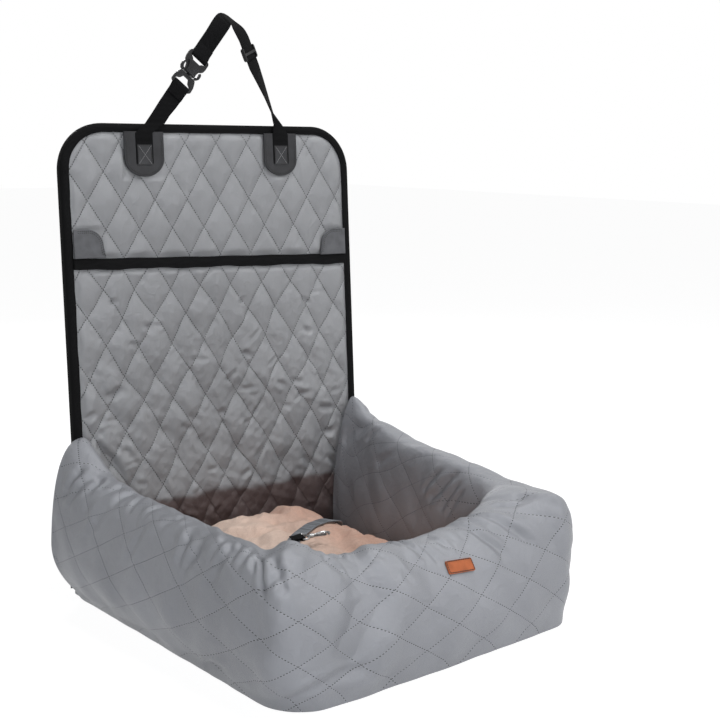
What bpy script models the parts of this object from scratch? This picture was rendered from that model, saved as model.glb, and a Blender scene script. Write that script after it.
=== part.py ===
"""Dog car seat: a stuffed U-shaped bed wall on a base, a plush cushion, and a quilted back panel that
hangs from a buckled headrest strap.

Metres, +Z up, +X to the seat's own right as seen from the front, front towards -Y.
The origin is the middle of the base's underside, on the surface that the seat stands on.
"""

import math

import bmesh
import bpy
from mathutils import Matrix, Vector
from mathutils.geometry import delaunay_2d_cdt

# Clearances
GAP = 0.0003  # between sewn or resting pieces
REST_GAP = 0.0008  # between a strap and the soft surface it lies on

# Base and bed wall, in plan
BASE_THICKNESS = 0.006
BASE_REAR = 0.285
OUTER_HALF_WIDTH = 0.275
INNER_HALF_WIDTH = 0.213
FRONT_LEFT = -0.313
FRONT_RIGHT = -0.268
FRONT_BOW = 0.004
FRONT_WALL_WIDTH = 0.108
LEFT_CORNER_RADIUS = 0.062
RIGHT_CORNER_RADIUS = 0.046
INNER_CORNER_RADIUS = 0.040

# Bed wall, in section: heights of the crest above the floor
LEFT_TIP_HEIGHT = 0.251
RIGHT_TIP_HEIGHT = 0.262
LEFT_ARM_HEIGHT = 0.190
RIGHT_ARM_BACK_HEIGHT = 0.232
RIGHT_ARM_HEIGHT = 0.212
LEFT_CORNER_HEIGHT = 0.200
RIGHT_CORNER_HEIGHT = 0.193
FRONT_HEIGHT = 0.166
LEFT_ARM_BULGE_OUT = 0.044
RIGHT_ARM_BULGE_OUT = 0.036
ARM_BULGE_IN = 0.007
FRONT_BULGE_OUT = 0.017
FRONT_BULGE_IN = 0.010
TIP_CREST_SHIFT = 0.016
ARM_CREST_SHIFT = 0.006
FRONT_CREST_SHIFT = -0.017
BULGE_AT = 0.55  # share of the height at which the arms are widest
FRONT_BULGE_AT = 0.50
BOXY_BULGE_AT = 0.72
BOXY_BULGE_OUT = 0.012
ARM_POWER = 2.7
FRONT_POWER = 2.2
BOXY_POWER = 4.2
TIP_POWER = 1.8
COVER_THICKNESS = 0.003
GUSSET_THICKNESS = 0.0025

# Floor pad and cushion
PAD_THICKNESS = 0.010
PAD_MARGIN = 0.006
CUSHION_HALF_WIDTH = 0.204
CUSHION_FRONT = -0.176
CUSHION_REAR = 0.250
CUSHION_SKEW = 0.016
CUSHION_EDGE = 0.036
CUSHION_CROWN = 0.076
CUSHION_PINCH = 0.035
CUSHION_COVER_THICKNESS = 0.003
CUSHION_CLOTH_THICKNESS = 0.002
MOUND_HEIGHT = 0.014
MOUND_X = 0.060
MOUND_Y = 0.150
MOUND_RADIUS = 0.070

# Back panel: x across, s up along the panel from the floor, n out towards the bed
PANEL_Y = 0.260
PANEL_LEAN = math.radians(4.2)
PANEL_X = 0.0035  # the panel sits this far to the right of the base's middle
PANEL_WIDTH = 0.542
PANEL_HEIGHT = 0.731
PANEL_CORNER_RADIUS = 0.074
FOLD_HEIGHT = 0.269
FOLD_BACK_ANGLE = math.radians(20.0)
LINING_THICKNESS = 0.0020
BOARD_THICKNESS = 0.0030
QUILT_THICKNESS = 0.0040
POCKET_THICKNESS = 0.0038
PUFF = 0.0040
QUILT_CELL_WIDTH = 0.0586
QUILT_CELL_HEIGHT = 0.0898
CROSSING_X = 0.0060  # where two seams of the quilting cross
CROSSING_S = -0.0169
PUFF_FADE = 0.012
BOARD_INSET = 0.010
BINDING_WIDTH = 0.015
BINDING_THICKNESS = 0.0012
BINDING_FOLD_GAP = 0.0012  # keeps its front lip clear of the lower half when folded
BAND_LEFT = 0.5160
BAND_RIGHT = 0.5040
BAND_HEIGHT = 0.0170
BAND_THICKNESS = 0.0025
MOUTH_SLOPE = 0.004
TAB_WIDTH = 0.050
TAB_HEIGHT = 0.048
TAB_RADIUS = 0.026
TAB_THICKNESS = 0.0013

# Strap patches and straps
PATCH_X = 0.1285
PATCH_WIDTH = 0.070
PATCH_BOTTOM = PANEL_HEIGHT - 0.083
PATCH_THICKNESS = 0.0014
WEBBING_WIDTH = 0.030
WEBBING_THICKNESS = 0.0015
SEWN_END_BOTTOM = PANEL_HEIGHT - 0.063
ROOT_LEFT_X = -0.1080
ROOT_LEFT_WIDTH = 0.035
ROOT_RIGHT_X = 0.1245
ROOT_RIGHT_WIDTH = 0.018
BUCKLE_X = -0.0603
BUCKLE_S = PANEL_HEIGHT + 0.0580
BUCKLE_TURN = math.radians(38.5)  # from upright towards +x
APEX_X = 0.0371  # the near edge's corner, where the strap turns over
APEX_S = PANEL_HEIGHT + 0.1586
APEX_REACH = 0.006
APEX_SOFTNESS = 0.006
APEX_SPREAD = 0.85
SLIDER_X = 0.0730
SLIDER_S = PANEL_HEIGHT + 0.1170
SLIDER_TURN = math.radians(22.0)
SLIDER_TWIST = math.radians(24.0)

# Side-release buckle: u along it from the lower bar, v across, w out of its face
BUCKLE_WIDTH = 0.0400
BUCKLE_LENGTH = 0.0640
BUCKLE_BAR = 0.0050
BUCKLE_FOLD = 0.020  # length of webbing folded back at each bar
BAR_HALF_THICKNESS = 0.0020
RAIL_WIDTH = 0.0045
MALE_PLATE_START = 0.0160
MALE_PLATE_END = 0.0245
MALE_HALF_THICKNESS = 0.0025
TONGUE_HALF_WIDTH = 0.0032
TONGUE_END = 0.0420
PRONG_ROOT_V = 0.0105
PRONG_WIDTH = 0.0042
PRONG_END = 0.0410
PRONG_BULGE = 0.0190
HOUSING_START = 0.0265
HOUSING_END = 0.0480
HOUSING_HALF_THICKNESS = 0.0055
HOUSING_WALL = 0.0022
RUN_CLEARANCE = 0.0004

# Strap slider
SLIDER_WIDTH = 0.0370
SLIDER_LENGTH = 0.0220
SLIDER_BAR = 0.0042
SLIDER_BAR_THICKNESS = 0.0018
SLIDER_TRAVEL = 0.012

# Label on the front wall
LABEL_WIDTH = 0.050
LABEL_HEIGHT = 0.022
LABEL_THICKNESS = 0.0012
LABEL_X = 0.038
LABEL_Z = 0.132
LABEL_TILT = math.radians(1.5)
LABEL_LIFT = 0.0012  # clears the wall's curve behind a flat label

# Tether with its snap hook
TETHER_WIDTH = 0.020
TETHER_THICKNESS = 0.0016
TETHER_LIFT = 0.0020  # clears the plush between the strap's stations
TETHER_ROUTE = ((0.150, 0.243), (0.146, 0.205), (0.122, 0.140), (0.083, 0.075), (0.045, 0.030),
                (0.012, 0.018), (-0.025, 0.002), (-0.060, -0.022), (-0.086, -0.044))
TAIL_ROUTE = ((-0.092, -0.041), (-0.078, -0.0500), (-0.062, -0.0545))
EYE_LENGTH = 0.0125
EYE_WIRE = 0.0015
EYE_BEND = 0.0050
POST_RADIUS = 0.0011
FLANGE_RADIUS = 0.0019
FLANGE_THICKNESS = 0.0012
STEM_BORE_END = 0.0030
HOOK_STEM_RADIUS = 0.0034
HOOK_STEM_LENGTH = 0.0080
HOOK_LOOP_RADIUS = 0.0085
HOOK_WIRE = 0.0019
HOOK_LENGTH = 0.0330
HOOK_LIFT = 0.0135
HOOK_RISE = math.radians(4.0)

# Zip along the foot of the back panel
ZIP_HALF_LENGTH = 0.256
ZIP_TAPE_HEIGHT = 0.012
ZIP_TAPE_THICKNESS = 0.0010
ZIP_COIL_HEIGHT = 0.0050
ZIP_COIL_THICKNESS = 0.0018
ZIP_CENTRE = 0.0146
ZIP_SLIDER_LENGTH = 0.012
ZIP_SLIDER_HEIGHT = 0.0100
ZIP_SLIDER_WALL = 0.0014
BRIDGE_LENGTH = 0.0100
BRIDGE_WIDTH = 0.0032
BRIDGE_LEG = 0.0014
BRIDGE_TOP = 0.0010
PULL_LENGTH = 0.034
PULL_WIDTH = 0.008
PULL_THICKNESS = 0.0018
PULL_SLACK = 0.0005
PULL_PIVOT = -0.0015
PULL_EYE_LENGTH = 0.0090

COLOURS = {
    "panel": ((0.255, 0.260, 0.268), 0.55, 0.0),
    "pocket": ((0.270, 0.272, 0.280), 0.55, 0.0),
    "bolster": ((0.300, 0.312, 0.335), 0.50, 0.0),
    "fill": ((0.850, 0.850, 0.840), 0.95, 0.0),
    "board": ((0.720, 0.720, 0.700), 0.60, 0.0),
    "lining": ((0.180, 0.182, 0.190), 0.75, 0.0),
    "binding": ((0.008, 0.008, 0.009), 0.75, 0.0),
    "webbing": ((0.007, 0.007, 0.008), 0.80, 0.0),
    "leather": ((0.055, 0.056, 0.060), 0.50, 0.0),
    "tab": ((0.120, 0.122, 0.128), 0.50, 0.0),
    "plush": ((0.650, 0.370, 0.260), 0.95, 0.0),
    "foam": ((0.800, 0.780, 0.640), 0.90, 0.0),
    "tether": ((0.190, 0.200, 0.215), 0.75, 0.0),
    "label": ((0.480, 0.130, 0.045), 0.45, 0.0),
    "plastic": ((0.010, 0.010, 0.011), 0.35, 0.0),
    "metal": ((0.620, 0.610, 0.590), 0.25, 1.0),
}

FLOOR_TOP = BASE_THICKNESS + GAP  # the height at which what stands on the base starts

# Depths through the panel, out from its front plane
POCKET_FRONT = -PUFF
POCKET_BACK = POCKET_FRONT - POCKET_THICKNESS
QUILT_FRONT_LOW = POCKET_BACK - GAP
QUILT_BACK = QUILT_FRONT_LOW - QUILT_THICKNESS
BOARD_FRONT = QUILT_BACK - GAP
BOARD_BACK = BOARD_FRONT - BOARD_THICKNESS
LINING_FRONT = BOARD_BACK - GAP
LINING_BACK = LINING_FRONT - LINING_THICKNESS
BINDING_IN_FRONT = POCKET_FRONT + GAP
BINDING_FRONT = BINDING_IN_FRONT + BINDING_THICKNESS
BINDING_IN_BACK = LINING_BACK - GAP
BINDING_BACK = BINDING_IN_BACK - BINDING_THICKNESS
PANEL_FOOT = (FLOOR_TOP - BINDING_BACK * math.sin(PANEL_LEAN)) / math.cos(PANEL_LEAN)
SURFACE = GAP  # what is sewn on the quilt lies just clear of its puffs
PATCH_FRONT = SURFACE + PATCH_THICKNESS
STRAP_N = PATCH_FRONT + GAP + WEBBING_THICKNESS / 2
STRAP_AXIS_S = PANEL_HEIGHT + 2 * GAP + WEBBING_THICKNESS / 2

HALF_PANEL = PANEL_WIDTH / 2
BOLSTER_FOOT = FLOOR_TOP
ARM_STATIONS = 8
CORNER_STATIONS = 6
FRONT_STATIONS = 10
SECTION_POINTS = 15
CUSHION_POINTS = 40


def clear_scene():
    for obj in list(bpy.data.objects):
        bpy.data.objects.remove(obj, do_unlink=True)


def material(name):
    found = bpy.data.materials.get(name)
    if found:
        return found
    colour, roughness, metallic = COLOURS[name]
    made = bpy.data.materials.new(name)
    made.use_nodes = True
    shader = made.node_tree.nodes["Principled BSDF"]
    shader.inputs["Base Color"].default_value = (*colour, 1.0)
    shader.inputs["Roughness"].default_value = roughness
    shader.inputs["Metallic"].default_value = metallic
    made.diffuse_color = (*colour, 1.0)
    return made


def empty(name, matrix, parent=None):
    """A frame for a moving group, with its origin on that group's axis."""
    made = bpy.data.objects.new(name, None)
    bpy.context.collection.objects.link(made)
    made.empty_display_size = 0.05
    made.parent = parent
    made.matrix_world = matrix
    made["world"] = [value for row in matrix for value in row]
    if parent:
        made.matrix_parent_inverse = frame_of(parent).inverted()
        made.matrix_basis = matrix
    return made


def frame_of(made):
    flat = list(made["world"])
    return Matrix([flat[4 * row:4 * row + 4] for row in range(4)])


def mesh_object(name, verts, faces, finish, parent=None, smooth=None):
    """One object from world-space points, with its mesh held in its parent's frame."""
    mesh = bpy.data.meshes.new(name)
    mesh.from_pydata([tuple(v) for v in verts], [], faces)
    bm = bmesh.new()
    bm.from_mesh(mesh)
    bmesh.ops.recalc_face_normals(bm, faces=bm.faces)
    bm.to_mesh(mesh)
    bm.free()
    obj = bpy.data.objects.new(name, mesh)
    bpy.context.collection.objects.link(obj)
    mesh.materials.append(material(finish))
    if parent:
        frame = frame_of(parent)
        mesh.transform(frame.inverted())
        obj.parent = parent
    if smooth is not None:
        mesh.shade_smooth()
        mesh.set_sharp_from_angle(angle=math.radians(smooth))
    return obj


def cut(obj, cutter):
    cutter.hide_render = True
    cutter.display_type = "WIRE"
    modifier = obj.modifiers.new("cut", "BOOLEAN")
    modifier.operation = "DIFFERENCE"
    modifier.solver = "EXACT"
    modifier.object = cutter


def join_solid(obj, other):
    """Weld another solid into this one, so that the two are one body."""
    other.hide_render = True
    other.display_type = "WIRE"
    modifier = obj.modifiers.new("join", "BOOLEAN")
    modifier.operation = "UNION"
    modifier.solver = "EXACT"
    modifier.object = other


def smoothstep(value):
    value = min(max(value, 0.0), 1.0)
    return value * value * (3 - 2 * value)


def mix(a, b, t):
    return a + (b - a) * t


def along(points, t):
    """Read a list of (place, value) pairs at t, easing between them."""
    if t <= points[0][0]:
        return points[0][1]
    for (t0, v0), (t1, v1) in zip(points, points[1:]):
        if t <= t1:
            return mix(v0, v1, smoothstep((t - t0) / (t1 - t0)))
    return points[-1][1]


def catmull(points, steps):
    """A smooth curve through points, with the given steps between each pair."""
    points = [Vector(p) for p in points]
    padded = [2 * points[0] - points[1], *points, 2 * points[-1] - points[-2]]
    curve = []
    for i in range(1, len(padded) - 2):
        p0, p1, p2, p3 = padded[i - 1:i + 3]
        for k in range(steps):
            t = k / steps
            curve.append(0.5 * (2 * p1 + (p2 - p0) * t + (2 * p0 - 5 * p1 + 4 * p2 - p3) * t * t
                                + (3 * p1 - p0 - 3 * p2 + p3) * t ** 3))
    curve.append(points[-1])
    return curve


def loft(rings, cap_pairs=None, turn_at=None):
    """Points and faces of a tube through closed rings. Caps are polygons, or strips between index pairs.

    With turn_at, the sides are triangles, whose diagonals turn the other way from that point on.
    """
    count = len(rings[0])
    verts = [v for ring in rings for v in ring]
    faces = []
    for r in range(len(rings) - 1):
        for i in range(count):
            j = (i + 1) % count
            quad = (r * count + i, r * count + j, (r + 1) * count + j, (r + 1) * count + i)
            if turn_at is None:
                faces.append(quad)
            elif i < turn_at:
                faces += [(quad[0], quad[1], quad[2]), (quad[0], quad[2], quad[3])]
            else:
                faces += [(quad[0], quad[1], quad[3]), (quad[1], quad[2], quad[3])]
    for base in (0, (len(rings) - 1) * count):
        if cap_pairs:
            faces += [tuple(base + i for i in quad) for quad in cap_pairs]
        else:
            faces.append(tuple(base + i for i in range(count)))
    return verts, faces


def prism(outline, low, high, place):
    """A flat plate: outline points (a, b) swept between two depths, set by place(a, b, depth)."""
    rings = [[place(a, b, depth) for a, b in outline] for depth in (low, high)]
    return loft(rings)


def box_outline(a0, a1, b0, b1):
    return [(a0, b0), (a1, b0), (a1, b1), (a0, b1)]


def arc(centre_a, centre_b, radius, start, end, steps):
    return [(centre_a + radius * math.cos(math.radians(mix(start, end, k / steps))),
             centre_b + radius * math.sin(math.radians(mix(start, end, k / steps))))
            for k in range(steps + 1)]


# Frames

def panel_frame(x=0.0, s=0.0, n=0.0):
    """The panel's frame at a place on it: columns across, up along the panel, and out of its front."""
    across = Vector((1, 0, 0))
    up = Vector((0, math.sin(PANEL_LEAN), math.cos(PANEL_LEAN)))
    out = Vector((0, -math.cos(PANEL_LEAN), math.sin(PANEL_LEAN)))
    origin = Vector((PANEL_X, PANEL_Y, 0)) + x * across + s * up + n * out
    made = Matrix((across, up, out)).transposed().to_4x4()
    made.translation = origin
    return made


PANEL = panel_frame()


def on_panel(x, s, n):
    return PANEL @ Vector((x, s, n))


def world(x, y, z):
    return Vector((x, y, z))


def panel_y(z, n=0.0):
    """Where the panel's plane at depth n lies at height z."""
    return PANEL_Y + z * math.tan(PANEL_LEAN) - n / math.cos(PANEL_LEAN)


# Bed wall

def plan_path(half, radius, right_radius, front_left, front_right, bow):
    """One edge of the wall's foot in plan, by stations: left arm, corner, front, corner, right arm."""
    rear = panel_y(0, GAP + GUSSET_THICKNESS + GAP)
    points = []
    for k in range(ARM_STATIONS):
        t = k / ARM_STATIONS
        points.append((-half, mix(rear, front_left + radius, t)))
    for k in range(CORNER_STATIONS + 1):
        angle = math.radians(180 + 90 * k / CORNER_STATIONS)
        points.append((-half + radius + radius * math.cos(angle),
                       front_left + radius + radius * math.sin(angle)))
    for k in range(1, FRONT_STATIONS):
        t = k / FRONT_STATIONS
        x = mix(-half + radius, half - right_radius, t)
        points.append((x, mix(front_left, front_right, t) - bow * 4 * t * (1 - t)))
    radius = right_radius
    for k in range(CORNER_STATIONS + 1):
        angle = math.radians(270 + 90 * k / CORNER_STATIONS)
        points.append((half - radius + radius * math.cos(angle),
                       front_right + radius + radius * math.sin(angle)))
    for k in range(1, ARM_STATIONS + 1):
        t = k / ARM_STATIONS
        points.append((half, mix(front_right + radius, rear, t)))
    return points


OUTER_FOOT = plan_path(OUTER_HALF_WIDTH, LEFT_CORNER_RADIUS, RIGHT_CORNER_RADIUS, FRONT_LEFT, FRONT_RIGHT,
                       FRONT_BOW)
INNER_FOOT = plan_path(INNER_HALF_WIDTH, INNER_CORNER_RADIUS, INNER_CORNER_RADIUS,
                       FRONT_LEFT + FRONT_WALL_WIDTH, FRONT_RIGHT + FRONT_WALL_WIDTH, FRONT_BOW)
LAST_STATION = len(OUTER_FOOT) - 1
FIRST_CORNER = ARM_STATIONS + CORNER_STATIONS // 2
LAST_CORNER = LAST_STATION - FIRST_CORNER


def crest_height(t):
    """Height of the wall's crest above the floor at station t."""
    arm, front = ARM_STATIONS, ARM_STATIONS + CORNER_STATIONS
    end = LAST_STATION
    return along(((0, LEFT_TIP_HEIGHT), (1.6, mix(LEFT_ARM_HEIGHT, LEFT_TIP_HEIGHT, 0.12)),
                  (3.0, LEFT_ARM_HEIGHT), (arm, LEFT_ARM_HEIGHT), (FIRST_CORNER, LEFT_CORNER_HEIGHT),
                  (front + 3.2, FRONT_HEIGHT), (front + 5.5, FRONT_HEIGHT),
                  (LAST_CORNER, RIGHT_CORNER_HEIGHT), (end - arm, RIGHT_CORNER_HEIGHT),
                  (end - 3.5, RIGHT_ARM_HEIGHT), (end - 1.2, RIGHT_ARM_BACK_HEIGHT),
                  (end, RIGHT_TIP_HEIGHT)), t)


def arm_share(t):
    """1 in the arms, 0 in the front wall, and between these round the corners."""
    arm, front = ARM_STATIONS, ARM_STATIONS + CORNER_STATIONS
    return along(((arm, 1), (front, 0), (LAST_STATION - front, 0), (LAST_STATION - arm, 1)), t)


def tip_share(t):
    """1 at the panel, fading out along the first of each arm."""
    return max(1 - smoothstep(t / 2.5), 1 - smoothstep((LAST_STATION - t) / 2.5))


def boxy_share(t):
    """1 at the right front corner, which stands squarer than the rest, and 0 away from it."""
    return 1 - smoothstep(abs(t - LAST_CORNER) / (CORNER_STATIONS * 0.9))


def read_path(path, t):
    k = min(int(t), len(path) - 2)
    return Vector(path[k]).lerp(Vector(path[k + 1]), t - k)


def wall_curve(t, inset):
    """The wall's section at station t as world points: outer foot, over the crest, to the inner foot."""
    outer, inner = read_path(OUTER_FOOT, t), read_path(INNER_FOOT, t)
    outward = (outer - inner).normalized()
    middle = (outer + inner) / 2
    half = (outer - inner).length / 2
    arm, tip = arm_share(t), tip_share(t)
    arm_bulge = LEFT_ARM_BULGE_OUT if t < LAST_STATION / 2 else RIGHT_ARM_BULGE_OUT
    bulge_out = mix(FRONT_BULGE_OUT, arm_bulge, arm)
    bulge_in = mix(FRONT_BULGE_IN, ARM_BULGE_IN, arm)
    crest = mix(mix(FRONT_CREST_SHIFT, ARM_CREST_SHIFT, arm), TIP_CREST_SHIFT, tip)
    power = mix(mix(mix(FRONT_POWER, ARM_POWER, arm), BOXY_POWER, boxy_share(t)), TIP_POWER, tip)
    widest = mix(mix(FRONT_BULGE_AT, BULGE_AT, arm), BOXY_BULGE_AT, boxy_share(t))
    bulge_out = mix(bulge_out, BOXY_BULGE_OUT, boxy_share(t))
    full = crest_height(t) - BOLSTER_FOOT
    height = full - inset
    points = []
    for i in range(SECTION_POINTS):
        turn = math.pi * i / (SECTION_POINTS - 1)
        c, s = math.cos(turn), max(math.sin(turn), 0.0)
        if i in (0, SECTION_POINTS - 1):
            s = 0.0
        side = 1 if c >= 0 else -1
        bulge = bulge_out if side > 0 else bulge_in
        up = height * s ** (2 / power)
        swell = bulge * (1 - max(0.0, 1 - up / (widest * full)) ** 2)
        across = side * (half + swell - inset) * abs(c) ** (2 / power)
        across += crest * (up / full) ** 2
        foot = middle + outward * across
        lean = math.tan(PANEL_LEAN) * (BOLSTER_FOOT + up) * lean_share(t)
        points.append(Vector((foot.x, foot.y + lean, BOLSTER_FOOT + up)))
    return points


def lean_share(t):
    """How far the section leans with the panel: fully where the arm meets it, not at all at the front."""
    return max(1 - t / ARM_STATIONS, 1 - (LAST_STATION - t) / ARM_STATIONS, 0.0)


def bolster_cover():
    rings = []
    for k in range(LAST_STATION + 1):
        rings.append(wall_curve(k, 0) + list(reversed(wall_curve(k, COVER_THICKNESS))))
    count = len(rings[0])
    strips = [(i, i + 1, count - 2 - i, count - 1 - i) for i in range(SECTION_POINTS - 1)]
    verts, faces = loft(rings, strips, turn_at=SECTION_POINTS)
    mesh_object("bolster_cover", verts, faces, "bolster", smooth=60)


def bolster_fills():
    """The three stuffed pillows inside the cover."""
    inset = COVER_THICKNESS + GAP
    ends = (("fill_left", 0, FIRST_CORNER), ("fill_front", FIRST_CORNER, LAST_CORNER),
            ("fill_right", LAST_CORNER, LAST_STATION))
    for name, first, last in ends:
        rings = [wall_curve(t, inset) for t in range(first, last + 1)]
        for end, near in ((0, 1), (-1, -2)):
            reach = (rings[near][0] - rings[end][0]).length
            rings[end] = [a.lerp(b, GAP / reach) for a, b in zip(rings[end], rings[near])]
        verts, faces = loft(rings, turn_at=len(rings[0]))
        mesh_object(name, verts, faces, "fill")


def end_gussets():
    """The sewn end of each arm, which meets the back panel."""
    back = SURFACE
    for name, t, rear_edge in (("end_gusset_left", 0, 1), ("end_gusset_right", LAST_STATION, -1)):
        curve = wall_curve(t, 0)
        rings = []
        for n in (back, back + GUSSET_THICKNESS):
            rings.append([Vector((p.x, panel_y(p.z, n), p.z)) for p in curve])
        verts, faces = loft(rings)
        mesh_object(name, verts, faces, "bolster")


def base_and_pad():
    rear = BASE_REAR
    outline = [(-OUTER_HALF_WIDTH, rear), *OUTER_FOOT, (OUTER_HALF_WIDTH, rear)]
    verts, faces = prism(outline, 0.0, BASE_THICKNESS, world)
    mesh_object("base_panel", verts, faces, "lining")
    margin = PAD_MARGIN
    path = plan_path(INNER_HALF_WIDTH - margin, INNER_CORNER_RADIUS, INNER_CORNER_RADIUS,
                     FRONT_LEFT + FRONT_WALL_WIDTH + margin,
                     FRONT_RIGHT + FRONT_WALL_WIDTH + margin, FRONT_BOW)
    outline = [(x, min(y, panel_y(0, 2 * GAP))) for x, y in path]
    verts, faces = prism(outline, FLOOR_TOP, FLOOR_TOP + PAD_THICKNESS, world)
    mesh_object("floor_pad", verts, faces, "foam")


# Cushion

def cushion_edge(angle, scale):
    """A point of the cushion's outline: a rounded rectangle whose sides draw in between its corners."""
    half_x, half_y = CUSHION_HALF_WIDTH, (CUSHION_REAR - CUSHION_FRONT) / 2
    c, s = math.cos(angle), math.sin(angle)
    a = math.copysign(abs(c) ** 0.36, c)
    b = math.copysign(abs(s) ** 0.36, s)
    x = half_x * a * (1 - CUSHION_PINCH * (1 - b * b)) * scale
    y = half_y * b * (1 - CUSHION_PINCH * (1 - a * a)) * scale
    return x, y + (CUSHION_REAR + CUSHION_FRONT) / 2 + cushion_skew(a * scale, b * scale)


def cushion_skew(a, b):
    """How far the cushion's front edge follows the slant of the front wall."""
    return CUSHION_SKEW * a * max(0.0, (1 - b) / 2)


def cushion_bottom():
    return FLOOR_TOP + PAD_THICKNESS + GAP


def cushion_top(x, y):
    """Height of the cushion's upper face above the floor at a place inside its outline."""
    half_y = (CUSHION_REAR - CUSHION_FRONT) / 2
    a = abs(x) / CUSHION_HALF_WIDTH
    b = (y - (CUSHION_REAR + CUSHION_FRONT) / 2) / half_y
    b = abs(b - cushion_skew(math.copysign(a, x), b) / half_y)
    reach = min((a ** 4 + b ** 4) ** 0.25, 1.0)
    crown = CUSHION_CROWN * (1 - reach ** 3.2)
    mound = MOUND_HEIGHT * math.exp(-((x - MOUND_X) ** 2 + (y - MOUND_Y) ** 2) / MOUND_RADIUS ** 2 * 2.5)
    low = cushion_bottom() + CUSHION_CLOTH_THICKNESS + GAP
    return low + CUSHION_EDGE + crown + mound * (1 - reach ** 4)


def cushion_rings(inset, low):
    """Rings from the foot of the cushion's side up to its middle."""
    rings = []
    shrink = 1 - inset / CUSHION_HALF_WIDTH
    for scale, rise in ((0.965, 0.0), (0.995, 0.35), (1.0, 0.62), (0.985, 0.86)):
        height = mix(low, low + CUSHION_EDGE - inset, rise)
        rings.append([(cushion_edge(2 * math.pi * (k + 0.5) / CUSHION_POINTS, scale * shrink), height)
                      for k in range(CUSHION_POINTS)])
    for scale in (0.93, 0.84, 0.71, 0.56, 0.40, 0.24, 0.10):
        ring = []
        for k in range(CUSHION_POINTS):
            place = cushion_edge(2 * math.pi * (k + 0.5) / CUSHION_POINTS, scale * shrink)
            ring.append((place, cushion_top(*place) - inset))
        rings.append(ring)
    return [[Vector((x, y, z)) for (x, y), z in ring] for ring in rings]


def cushion():
    low = cushion_bottom()
    turns = [2 * math.pi * (k + 0.5) / CUSHION_POINTS for k in range(CUSHION_POINTS)]
    outline = [cushion_edge(turn, 0.965) for turn in turns]
    verts, faces = prism(outline, low, low + CUSHION_CLOTH_THICKNESS, world)
    mesh_object("cushion_underside", verts, faces, "plush")
    low += CUSHION_CLOTH_THICKNESS + GAP
    outer = cushion_rings(0.0, low)
    inner = cushion_rings(CUSHION_COVER_THICKNESS, low)
    verts, faces = [], []
    for rings, start in ((outer, 0), (inner, len(outer) * CUSHION_POINTS)):
        for ring in rings:
            verts += ring
        for r in range(len(rings) - 1):
            for i in range(CUSHION_POINTS):
                j = (i + 1) % CUSHION_POINTS
                a, b = start + r * CUSHION_POINTS, start + (r + 1) * CUSHION_POINTS
                faces += [(a + i, a + j, b + j), (a + i, b + j, b + i)]
        last = start + (len(rings) - 1) * CUSHION_POINTS
        faces.append(tuple(last + i for i in range(CUSHION_POINTS)))
    start = len(outer) * CUSHION_POINTS
    for i in range(CUSHION_POINTS):
        j = (i + 1) % CUSHION_POINTS
        faces.append((i, j, start + j, start + i))
    mesh_object("cushion_cover", verts, faces, "plush", smooth=80)
    core = cushion_rings(CUSHION_COVER_THICKNESS + 2 * GAP, low)
    verts, faces = loft(core, turn_at=CUSHION_POINTS)
    mesh_object("cushion_foam", verts, faces, "foam")


# Back panel

def panel_outline(low, inset, steps=8):
    """The panel's outline above height low, from its left foot round the top to its right foot."""
    half, top, radius = HALF_PANEL - inset, PANEL_HEIGHT - inset, PANEL_CORNER_RADIUS - inset
    left = arc(-half + radius, top - radius, radius, 180, 90, steps)
    right = arc(half - radius, top - radius, radius, 90, 0, steps)
    return [(-half, low), *left, *right, (half, low)]


def band_centre(x):
    return mix(BAND_LEFT, BAND_RIGHT, (x + HALF_PANEL) / PANEL_WIDTH)


def puff_height(x, s):
    """How far the padding stands up between the diamond stitching, from 0 on a seam to 1."""
    across, up = (x - CROSSING_X) / QUILT_CELL_WIDTH, (s - CROSSING_S) / QUILT_CELL_HEIGHT
    u, v = across + up, across - up
    return math.sqrt(abs(math.sin(math.pi * u) * math.sin(math.pi * v)))


def inside_by(outline, x, s):
    """How far a place lies inside an outline, negative where it lies outside."""
    place = Vector((x, s))
    nearest, inside = 1.0, False
    for a, b in zip(outline, outline[1:] + outline[:1]):
        a, b = Vector(a), Vector(b)
        if (a.y > s) != (b.y > s) and x < a.x + (s - a.y) * (b.x - a.x) / (b.y - a.y):
            inside = not inside
        share = min(max((place - a).dot(b - a) / (b - a).length_squared, 0.0), 1.0)
        nearest = min(nearest, (place - a.lerp(b, share)).length)
    return nearest if inside else -nearest


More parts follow.
